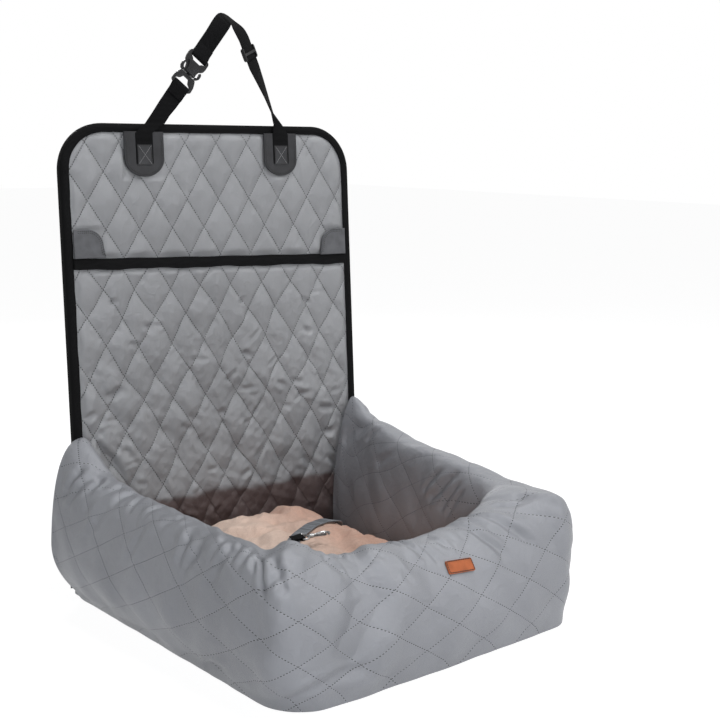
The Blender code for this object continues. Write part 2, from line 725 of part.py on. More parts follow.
def quilt(name, outline, padded, back, front_at, finish, parent, crease=None, back_outline=None):
    """A sheet that is flat behind, and puffed in front between its diamond seams, inside the padded outline."""
    step_x, step_s = QUILT_CELL_WIDTH / 4, QUILT_CELL_HEIGHT / 4
    points = [Vector(p) for p in outline + padded]
    edges = [(k, (k + 1) % len(outline)) for k in range(len(outline))]
    edges += [(len(outline) + k, len(outline) + (k + 1) % len(padded)) for k in range(len(padded))]
    if crease:
        edges.append(crease)
    index = {}
    reach = int(HALF_PANEL / step_x) + 2
    for i in range(-reach, reach):
        for j in range(int(PANEL_HEIGHT / step_s) + 2):
            x, s = CROSSING_X + i * step_x, CROSSING_S + j * step_s
            if inside_by(padded, x, s) > 0.004:
                index[i, j] = len(points)
                points.append(Vector((x, s)))
    for (i, j), a in index.items():
        if (i - j) % 4 == 0 and (i + 1, j + 1) in index:
            edges.append((a, index[i + 1, j + 1]))
        if (i + j) % 4 == 0 and (i - 1, j + 1) in index:
            edges.append((a, index[i - 1, j + 1]))
    places, _, triangles, _, _, _ = delaunay_2d_cdt(points, edges, [], 1, 1e-6)
    verts = []
    for p in places:
        inset = inside_by(padded, p.x, p.y)
        puff = PUFF * puff_height(p.x, p.y) * smoothstep(inset / PUFF_FADE) if inset > 0 else 0.0
        verts.append(on_panel(p.x, p.y, front_at(p.x, p.y) + puff))
    faces = [tuple(f) for f in triangles]
    count, start = len(outline), len(verts)
    verts += [on_panel(x, s, back) for x, s in back_outline or outline]
    faces.append(tuple(start + k for k in range(count)))
    faces += [(k, (k + 1) % count, start + (k + 1) % count, start + k) for k in range(count)]
    return mesh_object(name, verts, faces, finish, parent, smooth=50)


def fold_top(back):
    """How high a fixed layer may reach at the fold, so that the panel can also lean back."""
    return FOLD_HEIGHT - GAP - (POCKET_FRONT - back) * math.tan(FOLD_BACK_ANGLE)


def main_front(x, s):
    """The main quilt's face: its full height above the pocket's mouth, pressed flat behind the pocket."""
    mouth = band_centre(x) + BAND_HEIGHT / 2 + 2 * GAP
    return mix(QUILT_FRONT_LOW, POCKET_FRONT - GAP, min(max((s - mouth) / MOUTH_SLOPE, 0.0), 1.0))


def pocket_front(x, s):
    return POCKET_FRONT


def slab_layer(name, low, high, inset, back, front, finish, parent):
    """A flat layer of the panel between two heights."""
    if high is None:
        outline = panel_outline(low, inset)
    else:
        outline = box_outline(-HALF_PANEL + inset, HALF_PANEL - inset, low, high)
    verts, faces = prism(outline, back, front, on_panel)
    return mesh_object(name, verts, faces, finish, parent)


def back_panel(fold):
    inset = BINDING_THICKNESS + GAP
    slab_layer("lining_lower", PANEL_FOOT, fold_top(LINING_BACK), inset, LINING_BACK, LINING_FRONT,
               "lining", None)
    slab_layer("lining_upper", FOLD_HEIGHT, None, inset, LINING_BACK, LINING_FRONT, "lining", fold)
    slab_layer("board_lower", PANEL_FOOT, fold_top(BOARD_BACK) - BOARD_INSET / 2, inset + BOARD_INSET,
               BOARD_BACK, BOARD_FRONT, "board", None)
    slab_layer("board_upper", FOLD_HEIGHT + BOARD_INSET / 2, None, inset + BOARD_INSET,
               BOARD_BACK, BOARD_FRONT, "board", fold)
    slab_layer("quilt_lower", PANEL_FOOT, fold_top(QUILT_BACK), inset, QUILT_BACK, QUILT_FRONT_LOW,
               "panel", None)
    half = HALF_PANEL - inset
    inner = BINDING_WIDTH + 2 * GAP
    mouth = BAND_HEIGHT / 2 + 2 * GAP
    across = HALF_PANEL - inner
    padded = panel_outline(0, inner)
    padded[0] = (-across, band_centre(-across) + mouth + MOUTH_SLOPE)
    padded[-1] = (across, band_centre(across) + mouth + MOUTH_SLOPE)
    outline = panel_outline(FOLD_HEIGHT, inset)
    for side, place in ((-1, 1), (1, -1)):
        steps = [(side * half, band_centre(side * half) + mouth + rise) for rise in (0, MOUTH_SLOPE)]
        outline[place:place] = steps[::-side]
    quilt("quilt_upper", outline, padded, QUILT_BACK, main_front, "panel", fold, (1, len(outline) - 2))
    top = FOLD_HEIGHT - GAP
    quilt("pocket_lower", box_outline(-half, half, PANEL_FOOT, top),
          box_outline(-across, across, PANEL_FOOT + 2 * GAP, top - 2 * GAP),
          POCKET_BACK, pocket_front, "pocket", None,
          back_outline=box_outline(-half, half, PANEL_FOOT, fold_top(POCKET_BACK)))
    top = BAND_HEIGHT / 2 - BAND_THICKNESS
    low = -BAND_HEIGHT / 2 - 2 * GAP
    upper = [(-half, FOLD_HEIGHT), (half, FOLD_HEIGHT), (half, band_centre(half) + top),
             (-half, band_centre(-half) + top)]
    padded = [(-across, FOLD_HEIGHT + 2 * GAP), (across, FOLD_HEIGHT + 2 * GAP),
              (across, band_centre(across) + low), (-across, band_centre(-across) + low)]
    quilt("pocket_upper", upper, padded, POCKET_BACK, pocket_front, "pocket", fold)


def binding_ring(x, s, inward_x, inward_s):
    """The folded tape's section at one place on the edge."""
    section = ((0, BINDING_BACK), (0, BINDING_FRONT), (BINDING_WIDTH, BINDING_FRONT),
               (BINDING_WIDTH, BINDING_IN_FRONT), (BINDING_THICKNESS, BINDING_IN_FRONT),
               (BINDING_THICKNESS, BINDING_IN_BACK), (BINDING_WIDTH, BINDING_IN_BACK),
               (BINDING_WIDTH, BINDING_BACK))
    return [on_panel(x + inward_x * m, s + inward_s * m, n) for m, n in section]


BINDING_CAP = ((0, 1, 4, 5), (1, 2, 3, 4), (0, 5, 6, 7))


def bindings(fold):
    """The black tape folded over the panel's edge, in a fixed and a moving stretch."""
    top = fold_top(BINDING_BACK)
    for name, side in (("binding_lower_left", -1), ("binding_lower_right", 1)):
        rings = [binding_ring(side * HALF_PANEL, s, -side, 0) for s in (PANEL_FOOT, top)]
        verts, faces = loft(rings, BINDING_CAP)
        mesh_object(name, verts, faces, "binding")
    foot = FOLD_HEIGHT + BINDING_FOLD_GAP
    rings = [binding_ring(-HALF_PANEL, foot, 1, 0)]
    radius = PANEL_CORNER_RADIUS
    steps = 8
    for side, start in ((-1, 180), (1, 90)):
        for k in range(steps + 1):
            angle = math.radians(start - 90 * k / steps)
            c, s = math.cos(angle), math.sin(angle)
            rings.append(binding_ring(side * (HALF_PANEL - radius) + radius * c,
                                      PANEL_HEIGHT - radius + radius * s, -c, -s))
    rings.append(binding_ring(HALF_PANEL, foot, -1, 0))
    verts, faces = loft(rings, BINDING_CAP)
    mesh_object("binding_upper", verts, faces, "binding", fold)


def pocket_band(fold):
    """The tape folded over the pocket's mouth, and the two leather-look corner tabs."""
    half = HALF_PANEL - BINDING_WIDTH - GAP
    low = -BAND_HEIGHT / 2
    high = BAND_HEIGHT / 2
    front = BINDING_FRONT + BAND_THICKNESS
    lip = POCKET_FRONT + GAP
    rings = []
    for x in (-half, half):
        middle = band_centre(x)
        section = ((low, lip), (low, front), (high, front), (high, POCKET_BACK),
                   (high - BAND_THICKNESS + GAP, POCKET_BACK), (high - BAND_THICKNESS + GAP, lip))
        rings.append([on_panel(x, middle + s, n) for s, n in section])
    verts, faces = loft(rings, ((0, 1, 2, 5), (2, 3, 4, 5)))
    mesh_object("pocket_band", verts, faces, "binding", fold)
    for name, side in (("tab_left", -1), ("tab_right", 1)):
        outer = side * half
        inner = side * (half - TAB_WIDTH)
        foot = band_centre(outer) + BAND_HEIGHT / 4
        head = foot + TAB_HEIGHT
        corner = [(inner + side * (TAB_RADIUS - TAB_RADIUS * math.cos(math.radians(angle))),
                   head - TAB_RADIUS + TAB_RADIUS * math.sin(math.radians(angle)))
                  for angle in range(0, 91, 15)]
        outline = [(outer, foot), (inner - side * 0.004, foot), *corner, (outer, head)]
        verts, faces = prism(outline, SURFACE, SURFACE + TAB_THICKNESS, on_panel)
        mesh_object(name, verts, faces, "tab", fold)


# Headrest strap

def strap_patches(fold):
    """The U-shaped leather-look patches and the webbing ends that are boxed down on them."""
    roots = ((-1, "left", ROOT_LEFT_X, ROOT_LEFT_WIDTH), (1, "right", ROOT_RIGHT_X, ROOT_RIGHT_WIDTH))
    for side, word, root_x, root_width in roots:
        x = side * PATCH_X
        half = PATCH_WIDTH / 2
        top = PANEL_HEIGHT - BINDING_WIDTH - GAP
        round_end = arc(x, PATCH_BOTTOM + half * 0.8, half, 180, 360, 12)
        round_end = [(a, PATCH_BOTTOM + half * 0.8 + (b - PATCH_BOTTOM - half * 0.8) * 0.8)
                     for a, b in round_end]
        outline = [(x - half, top), *round_end, (x + half, top)]
        verts, faces = prism(outline, SURFACE, PATCH_FRONT, on_panel)
        mesh_object("strap_patch_" + word, verts, faces, "leather", fold)
        low, high = STRAP_N - WEBBING_THICKNESS / 2, STRAP_N + WEBBING_THICKNESS / 2
        width = WEBBING_WIDTH / 2
        shoulder = PANEL_HEIGHT - BINDING_WIDTH
        outline = [(x - width, SEWN_END_BOTTOM), (x + width, SEWN_END_BOTTOM), (x + width, shoulder),
                   (root_x + root_width / 2, PANEL_HEIGHT + GAP),
                   (root_x - root_width / 2, PANEL_HEIGHT + GAP), (x - width, shoulder)]
        verts, faces = prism(outline, low, high, on_panel)
        mesh_object("strap_end_" + word, verts, faces, "webbing", fold)


def ribbon(name, stations, thickness, finish, parent, round_start=False):
    """Flat webbing through stations of (centre, width direction, width), square at its far end."""
    rings = []
    count = len(stations)
    for k, (centre, across, width) in enumerate(stations):
        before, after = stations[max(k - 1, 0)][0], stations[min(k + 1, count - 1)][0]
        tangent = (after - before).normalized()
        normal = tangent.cross(across).normalized()
        half, thick = across.normalized() * width / 2, normal * thickness / 2
        if k == 0 and round_start:
            for angle in (75, 40):
                drop, grow = math.sin(math.radians(angle)), math.cos(math.radians(angle))
                start = centre - round_start * thickness / 2 * drop
                rings.append([start - half - thick * grow, start + half - thick * grow,
                              start + half + thick * grow, start - half + thick * grow])
        rings.append([centre - half - thick, centre + half - thick, centre + half + thick,
                      centre - half + thick])
    verts, faces = loft(rings)
    return mesh_object(name, verts, faces, finish, parent)


def buckle_frame():
    """Origin at the buckle's lower bar: x across it, y along it and z out of its face."""
    turn = Matrix.Rotation(-BUCKLE_TURN, 4, "Z")
    return panel_frame(BUCKLE_X, BUCKLE_S, STRAP_N) @ turn


def slider_frame():
    """Origin in the middle of the strap slider: x across the webbing, y up along it."""
    return (panel_frame(SLIDER_X, SLIDER_S, STRAP_N) @ Matrix.Rotation(SLIDER_TURN, 4, "Z")
            @ Matrix.Rotation(SLIDER_TWIST, 4, "Y"))


def loop_round_bar(frame, bar_near, bar_far, side, reach):
    """Centres of webbing round a buckle bar: in on the back layer, round, and back on the front layer."""
    out = BAR_HALF_THICKNESS + GAP + WEBBING_THICKNESS / 2
    sewn = WEBBING_THICKNESS / 2 + GAP / 2
    middle = (bar_near + bar_far) / 2
    half = abs(bar_far - bar_near) / 2
    path = [(middle - side * (half + reach), -sewn), (middle - side * (half + reach * 0.45), -sewn),
            (middle - side * half, -out)]
    for k in range(7):
        angle = math.radians(-90 + 30 * k)
        path.append((middle + side * (half * 0.6 + out * math.cos(angle)), out * math.sin(angle)))
    path += [(middle - side * half, out), (middle - side * (half + reach * 0.45), sewn),
             (middle - side * (half + reach * 0.95), sewn)]
    return [frame @ Vector((0, a, b)) for a, b in path]


def straps(swing):
    """The short webbing with the buckle's lower half, and the long one over the apex to the right end."""
    buckle = buckle_frame()
    x_axis, up, out = [PANEL.to_3x3().col[k] for k in range(3)]
    across_buckle = buckle.to_3x3().col[0]

    loop = loop_round_bar(buckle, 0.0, BUCKLE_BAR, 1, BUCKLE_FOLD)
    start = on_panel(ROOT_LEFT_X, STRAP_AXIS_S, STRAP_N)
    stations = [(start, x_axis, ROOT_LEFT_WIDTH)]
    for t in (0.35, 0.7):
        stations.append((start.lerp(loop[0], t), x_axis.lerp(across_buckle, t), WEBBING_WIDTH))
    stations += [(centre, across_buckle, WEBBING_WIDTH) for centre in loop]
    ribbon("strap_short", stations, WEBBING_THICKNESS, "webbing", swing, round_start=up)

    slider = slider_frame()
    across_slider, along_slider = slider.to_3x3().col[0], slider.to_3x3().col[1]
    centre = slider.translation
    straight = SLIDER_LENGTH / 2 + SLIDER_TRAVEL + 0.001
    high, low = centre + along_slider * straight, centre - along_slider * straight
    root = on_panel(ROOT_RIGHT_X, STRAP_AXIS_S, STRAP_N)
    edge_on = (x_axis * math.cos(math.radians(80)) - out * math.sin(math.radians(80)))
    stations = [(root, x_axis, ROOT_RIGHT_WIDTH)]
    for t, across, width in ((0.22, x_axis.lerp(edge_on, 0.6), 0.024), (0.5, edge_on, WEBBING_WIDTH),
                             (0.75, edge_on.lerp(across_slider, 0.45), WEBBING_WIDTH)):
        stations.append((root.lerp(low, t), across, width))
    stations += [(low, across_slider, WEBBING_WIDTH), (high, across_slider, WEBBING_WIDTH)]
    far = loop_round_bar(buckle, BUCKLE_LENGTH, BUCKLE_LENGTH - BUCKLE_BAR, -1, BUCKLE_FOLD)
    left_across = -across_buckle
    half = WEBBING_WIDTH / 2
    corner = on_panel(APEX_X, APEX_S, STRAP_N + APEX_REACH)
    near_start, near_end = high - across_slider * half, far[0] - left_across * half
    rise, fall = (corner - near_start).normalized(), (near_end - corner).normalized()
    near_edge = catmull([near_start, near_start.lerp(corner, 0.5), corner - rise * APEX_SOFTNESS,
                         corner + up * APEX_SOFTNESS / 4, corner + fall * APEX_SOFTNESS,
                         corner.lerp(near_end, 0.5), near_end], 3)
    over = up * 0.5 - out * 0.87
    for k in range(1, len(near_edge) - 1):
        t = smoothstep((k / (len(near_edge) - 1) - 0.5) / APEX_SPREAD + 0.5)
        across = (across_slider * (1 - t) ** 2 + over * 2 * t * (1 - t) + left_across * t * t).normalized()
        stations.append((near_edge[k] + across * half, across, WEBBING_WIDTH))
    stations += [(point, left_across, WEBBING_WIDTH) for point in far]
    ribbon("strap_long", stations, WEBBING_THICKNESS, "webbing", swing, round_start=up)


def local_prism(frame, outline, low, high):
    return prism(outline, low, high, lambda a, b, c: frame @ Vector((a, b, c)))


def local_box(name, frame, x0, x1, y0, y1, z0, z1, parent, finish="plastic"):
    verts, faces = local_prism(frame, box_outline(x0, x1, y0, y1), z0, z1)
    return mesh_object(name, verts, faces, finish, parent)


def buckle(swing):
    """Side-release buckle: a male half with two spring prongs, latched in a female housing."""
    frame = buckle_frame()
    half = BUCKLE_WIDTH / 2
    bar, rail = BUCKLE_BAR, RAIL_WIDTH
    shoulder = 0.003
    outline = [(-half + shoulder, 0), (half - shoulder, 0), (half, shoulder), (half, MALE_PLATE_START),
               (half - rail, MALE_PLATE_END), (-half + rail, MALE_PLATE_END), (-half, MALE_PLATE_START),
               (-half, shoulder)]
    verts, faces = local_prism(frame, outline, -BAR_HALF_THICKNESS, BAR_HALF_THICKNESS)
    male = mesh_object("buckle_male", verts, faces, "plastic", swing)
    cut(male, local_box("male_window", frame, -half + rail, half - rail, bar, MALE_PLATE_START,
                        -0.01, 0.01, swing))
    join_solid(male, local_box("male_tongue", frame, -TONGUE_HALF_WIDTH, TONGUE_HALF_WIDTH,
                               MALE_PLATE_END - 0.002, TONGUE_END, -BAR_HALF_THICKNESS * 0.8,
                               BAR_HALF_THICKNESS * 0.8, swing))

    wide = half - 0.0015
    outline = [(-wide, HOUSING_START), (wide, HOUSING_START), (half - 0.003, HOUSING_END - 0.004),
               (half, HOUSING_END), (half, BUCKLE_LENGTH - shoulder), (half - shoulder, BUCKLE_LENGTH),
               (-half + shoulder, BUCKLE_LENGTH), (-half, BUCKLE_LENGTH - shoulder), (-half, HOUSING_END),
               (-half + 0.003, HOUSING_END - 0.004)]
    verts, faces = local_prism(frame, outline, -HOUSING_HALF_THICKNESS, HOUSING_HALF_THICKNESS)
    female = mesh_object("buckle_female", verts, faces, "plastic", swing)
    step = HOUSING_HALF_THICKNESS - BAR_HALF_THICKNESS
    for word, sign in (("front", 1), ("back", -1)):
        low, high = sorted((sign * BAR_HALF_THICKNESS, sign * (HOUSING_HALF_THICKNESS + 0.002)))
        cut(female, local_box("female_step_" + word, frame, -half - 0.002, half + 0.002,
                              HOUSING_END + step * 0.4, BUCKLE_LENGTH + 0.002, low, high, swing))
    cut(female, local_box("female_window", frame, -half + rail, half - rail, HOUSING_END + 0.0015,
                          BUCKLE_LENGTH - bar, -0.01, 0.01, swing))
    hollow = HOUSING_HALF_THICKNESS - HOUSING_WALL
    bay = wide - HOUSING_WALL - 0.001
    slot = (HOUSING_START + 0.0025, PRONG_END + 0.0012)
    mouth, end, past = HOUSING_START - 0.002, HOUSING_END - 0.0035, half + 0.002
    cross = [(-bay, mouth), (bay, mouth), (bay, slot[0]), (past, slot[0]), (past, slot[1]), (bay, slot[1]),
             (bay, end), (-bay, end), (-bay, slot[1]), (-past, slot[1]), (-past, slot[0]), (-bay, slot[0])]
    verts, faces = local_prism(frame, cross, -hollow, hollow)
    cut(female, mesh_object("female_hollow", verts, faces, "plastic", swing))

    for word, side in (("left", -1), ("right", 1)):
        pivot_u = MALE_PLATE_END + RUN_CLEARANCE + PRONG_WIDTH / 2
        pivot = frame @ Matrix.Translation((side * PRONG_ROOT_V, pivot_u, 0))
        axis = empty("prong_axis_" + word, pivot, swing)
        root = PRONG_WIDTH / 2
        outline = [(side * a, b) for a, b in arc(0, 0, root, 0, -180, 8)]
        outline += [(side * -root * 0.9, 0.008), (side * 0.001, PRONG_END - pivot_u),
                    (side * (PRONG_BULGE - PRONG_ROOT_V - 0.0035), PRONG_END - pivot_u),
                    (side * (PRONG_BULGE - PRONG_ROOT_V), PRONG_END - pivot_u - 0.0030),
                    (side * (PRONG_BULGE - PRONG_ROOT_V - 0.0008), PRONG_END - pivot_u - 0.0085),
                    (side * root * 1.3, 0.0035)]
        verts, faces = local_prism(pivot, outline, -MALE_HALF_THICKNESS * 0.8, MALE_HALF_THICKNESS * 0.8)
        mesh_object("prong_" + word, verts, faces, "plastic", axis)


def strap_slider(swing):
    """Three-bar slider: two outer bars behind the webbing and a middle bar in front of it."""
    frame = slider_frame()
    travel = empty("slider_axis", frame, swing)
    half, reach = SLIDER_WIDTH / 2, SLIDER_LENGTH / 2
    near = WEBBING_THICKNESS / 2 + GAP
    far = near + SLIDER_BAR_THICKNESS
    side_bar = (SLIDER_WIDTH - WEBBING_WIDTH) / 2 - RUN_CLEARANCE
    trim = 0.0025
    outline = [(-half + trim, -reach), (half - trim, -reach), (half, -reach + trim), (half, reach - trim),
               (half - trim, reach), (-half + trim, reach), (-half, reach - trim), (-half, -reach + trim)]
    verts, faces = local_prism(frame, outline, -far, far)
    slider = mesh_object("strap_slider", verts, faces, "plastic", travel)
    inside = half - side_bar
    cut(slider, local_box("slider_passage", frame, -inside, inside, -reach - 0.002, reach + 0.002,
                          -near, near, travel))
    cut(slider, local_box("slider_front_low", frame, -inside, inside, -reach - 0.002, -SLIDER_BAR / 2,
                          0, far + 0.002, travel))
    cut(slider, local_box("slider_front_high", frame, -inside, inside, SLIDER_BAR / 2, reach + 0.002,
                          0, far + 0.002, travel))
    cut(slider, local_box("slider_back", frame, -inside, inside, -reach + SLIDER_BAR, reach - SLIDER_BAR,
                          -far - 0.002, 0, travel))


# Label

def front_face(x, z):
    """A point on the front wall's outer face at x and height z."""
    station = ARM_STATIONS + CORNER_STATIONS
    left, right = -OUTER_HALF_WIDTH + LEFT_CORNER_RADIUS, OUTER_HALF_WIDTH - RIGHT_CORNER_RADIUS
    t = station + FRONT_STATIONS * (x - left) / (right - left)
    curve = wall_curve(t, 0)
    for a, b in zip(curve, curve[1:]):
        if a.z <= z <= b.z:
            return a.lerp(b, (z - a.z) / (b.z - a.z))
    raise ValueError("height is above the wall")


def label():
    step = LABEL_HEIGHT / 2
    point = front_face(LABEL_X, LABEL_Z)
    right = (front_face(LABEL_X + step, LABEL_Z) - front_face(LABEL_X - step, LABEL_Z)).normalized()
    up = (front_face(LABEL_X, LABEL_Z + step) - front_face(LABEL_X, LABEL_Z - step)).normalized()
    facing = right.cross(up).normalized()
    right = Matrix.Rotation(LABEL_TILT, 3, facing) @ right
    frame = Matrix((right, facing.cross(right), facing)).transposed().to_4x4()
    frame.translation = point + facing * LABEL_LIFT
    half_w, half_h = LABEL_WIDTH / 2, LABEL_HEIGHT / 2
    verts, faces = local_prism(frame, box_outline(-half_w, half_w, -half_h, half_h), 0, LABEL_THICKNESS)
    mesh_object("label", verts, faces, "label")


# Tether

def on_cushion(route, lift, steps):
    """A smooth curve over the cushion through places in plan."""
    curve = catmull([(x, y, 0) for x, y in route], steps)
    return [Vector((p.x, p.y, cushion_top(p.x, p.y) + lift)) for p in curve]


def flat_stations(curve, width):
    """Stations whose width lies along the cushion's slope."""
    stations = []
    for k, point in enumerate(curve):
        step = curve[min(k + 1, len(curve) - 1)] - curve[max(k - 1, 0)]
        across = Vector((step.y, -step.x, 0)).normalized() * width / 2
        right, left = point + across, point - across
        across.z = (cushion_top(right.x, right.y) - cushion_top(left.x, left.y)) / 2
        stations.append((point, across, width))
    return stations


def lathe(frame, profile, sides=12):
    """A solid turned piece whose profile starts and ends on the axis."""
    turns = [2 * math.pi * k / sides for k in range(sides)]
    rings = [[frame @ Vector((a, r * math.cos(turn), r * math.sin(turn))) for turn in turns]
             for a, r in profile]
    return loft(rings)


def tube(path, radius, sides=8, closed=False):
    """A round wire through points, with flat ends or closed into a ring."""
    rings = []
    normal = None
    last = len(path) - 1
    for k, point in enumerate(path):
        if closed:
            step = (path[(k + 1) % len(path)] - path[k - 1]).normalized()
        else:
            step = (path[min(k + 1, last)] - path[max(k - 1, 0)]).normalized()
        if normal is None:
            normal = step.orthogonal().normalized()
        normal = (normal - step * normal.dot(step)).normalized()
        side = step.cross(normal)
        rings.append([point + radius * (math.cos(2 * math.pi * i / sides) * normal
                                        + math.sin(2 * math.pi * i / sides) * side) for i in range(sides)])
    if not closed:
        return loft(rings)
    verts, faces = loft(rings + [rings[0]])
    start = len(path) * sides
    faces = [tuple(i - start if i >= start else i for i in face) for face in faces if len(face) == 4]
    return verts[:start], faces


def hook_frame():
    """Origin on the swivel where the hook turns: x along the hook, z up."""
    x, y = TAIL_ROUTE[-1]
    before = TAIL_ROUTE[-2]
    heading = Vector((x - before[0], y - before[1], 0)).normalized()
    heading = (heading + Vector((0, 0, math.tan(HOOK_RISE)))).normalized()
    side = Vector((0, 0, 1)).cross(heading).normalized()
    up = heading.cross(side)
    frame = Matrix((heading, side, up)).transposed().to_4x4()
    frame.translation = Vector((x, y, cushion_top(x, y) + HOOK_LIFT))
    return frame


def tether():
    """Webbing sewn in beside the right arm, lying over the cushion to a swivelling snap hook."""
    lift = TETHER_LIFT + TETHER_THICKNESS / 2
    curve = on_cushion(TETHER_ROUTE, lift, 3)
    ribbon("tether_strap", flat_stations(curve, TETHER_WIDTH), TETHER_THICKNESS, "tether", None)

    frame = hook_frame()
    heading = frame.to_3x3() @ Vector((1, 0, 0))
    side = frame.to_3x3() @ Vector((0, 1, 0))
    up = frame.to_3x3() @ Vector((0, 0, 1))
    rear = frame.translation - heading * (EYE_LENGTH - EYE_WIRE)
    over = lift + TETHER_THICKNESS + REST_GAP
    start_x, start_y = TAIL_ROUTE[0]
    base = Vector((start_x, start_y, cushion_top(start_x, start_y) + over))
    wrap = EYE_WIRE + GAP + TETHER_THICKNESS / 2
    apart = (TETHER_THICKNESS + GAP) / 2
    path = [base - heading * 0.006, base.lerp(rear, 0.4) - up * apart, rear - heading * 0.007 - up * apart,
            rear - up * wrap]
    for k in range(1, 6):
        angle = math.radians(-90 + 30 * k)
        path.append(rear + heading * wrap * math.cos(angle) + up * wrap * math.sin(angle))
    path += [rear + up * wrap, rear - heading * 0.007 + up * apart, rear - heading * 0.016 + up * apart]
    stations = [(point, side, TETHER_WIDTH) for point in path]
    ribbon("hook_strap", stations, TETHER_THICKNESS, "webbing", None)

    half = TETHER_WIDTH / 2 + 3 * GAP + EYE_WIRE
    near, far = -EYE_WIRE, -EYE_LENGTH + EYE_WIRE
    bend = EYE_BEND
    outline = [(far, 0.0), (far, -half + bend * 0.3), (far + bend * 0.3, -half), (near - bend, -half),
               (near - bend * 0.3, -half + bend * 0.6), (near, -bend * 0.6), (near, bend * 0.6),
               (near - bend * 0.3, half - bend * 0.6), (near - bend, half), (far + bend * 0.3, half),
               (far, half - bend * 0.3)]
    verts, faces = tube([frame @ Vector((a, b, 0)) for a, b in outline], EYE_WIRE, closed=True)
    eye = mesh_object("swivel_eye", verts, faces, "metal", smooth=60)
    post = ((-EYE_WIRE, POST_RADIUS), (STEM_BORE_END + RUN_CLEARANCE, POST_RADIUS),
            (STEM_BORE_END + RUN_CLEARANCE, FLANGE_RADIUS),
            (STEM_BORE_END + RUN_CLEARANCE + FLANGE_THICKNESS, FLANGE_RADIUS))
    verts, faces = lathe(frame, post)
    join_solid(eye, mesh_object("swivel_post", verts, faces, "metal"))
    hook(frame)


def hook(frame):
    """Snap hook: a turned swivel stem, an open wire loop and a sprung gate across its mouth."""
    turn = empty("hook_axis", frame)
    start = RUN_CLEARANCE
    end = HOOK_STEM_LENGTH
    cavity_end = STEM_BORE_END + FLANGE_THICKNESS + 3 * RUN_CLEARANCE
    bore, cavity = POST_RADIUS + RUN_CLEARANCE, FLANGE_RADIUS + RUN_CLEARANCE
    stem = ((start, HOOK_STEM_RADIUS * 0.8), (start + 0.001, HOOK_STEM_RADIUS),
            (end - 0.001, HOOK_STEM_RADIUS), (end, HOOK_STEM_RADIUS * 0.75))
    verts, faces = lathe(frame, stem)
    body = mesh_object("hook_body", verts, faces, "metal", turn, smooth=60)
    hollow = ((start - 0.002, bore), (STEM_BORE_END, bore), (STEM_BORE_END, cavity), (cavity_end, cavity))
    verts, faces = lathe(frame, hollow)
    cut(body, mesh_object("stem_hollow", verts, faces, "metal", turn))
    root = end - 0.001
    centre = HOOK_LENGTH - HOOK_LOOP_RADIUS
    loop = HOOK_LOOP_RADIUS - HOOK_WIRE
    path = [(root, 0.0), (root + 0.003, 0.0), (root + 0.006, 0.0035), (centre - 0.004, loop)]
    path += [(centre + loop * math.sin(math.radians(a)), loop * math.cos(math.radians(a)))
             for a in range(0, 136, 15)]
    points = [frame @ Vector((a, b, 0)) for a, b in path]
    verts, faces = tube(points, HOOK_WIRE)
    join_solid(body, mesh_object("hook_wire", verts, faces, "metal", turn))
    tip = path[-1]
    pivot = Vector((root + 0.0055, -HOOK_WIRE * 1.6, 0))
    ear_far = pivot.x + 0.001
    ear = local_box("hook_ear", frame, root, ear_far - 0.0025, pivot.y - 0.0005, 0.001,
                    -HOOK_WIRE * 0.8, HOOK_WIRE * 0.8, turn, "metal")
    join_solid(body, ear)
    gate_frame = frame @ Matrix.Translation(pivot)
    gate = empty("gate_axis", gate_frame, turn)
    reach = Vector((tip[0] - pivot.x, tip[1] - pivot.y, 0))
    length = reach.length - HOOK_WIRE * 1.9
    heading = reach.normalized()
    side = Vector((-heading.y, heading.x, 0))
    radius = 0.0012
    outline = []
    for angle in range(90, 271, 30):
        place = (heading * math.cos(math.radians(angle)) + side * math.sin(math.radians(angle))) * radius
        outline.append((place.x, place.y))
    for reach_along, out in ((length, -1), (length, 1)):
        place = heading * reach_along + side * out * radius
        outline.append((place.x, place.y))
    verts, faces = local_prism(gate_frame, outline, -HOOK_WIRE * 0.7, HOOK_WIRE * 0.7)
    mesh_object("hook_gate", verts, faces, "metal", gate)


# Zip

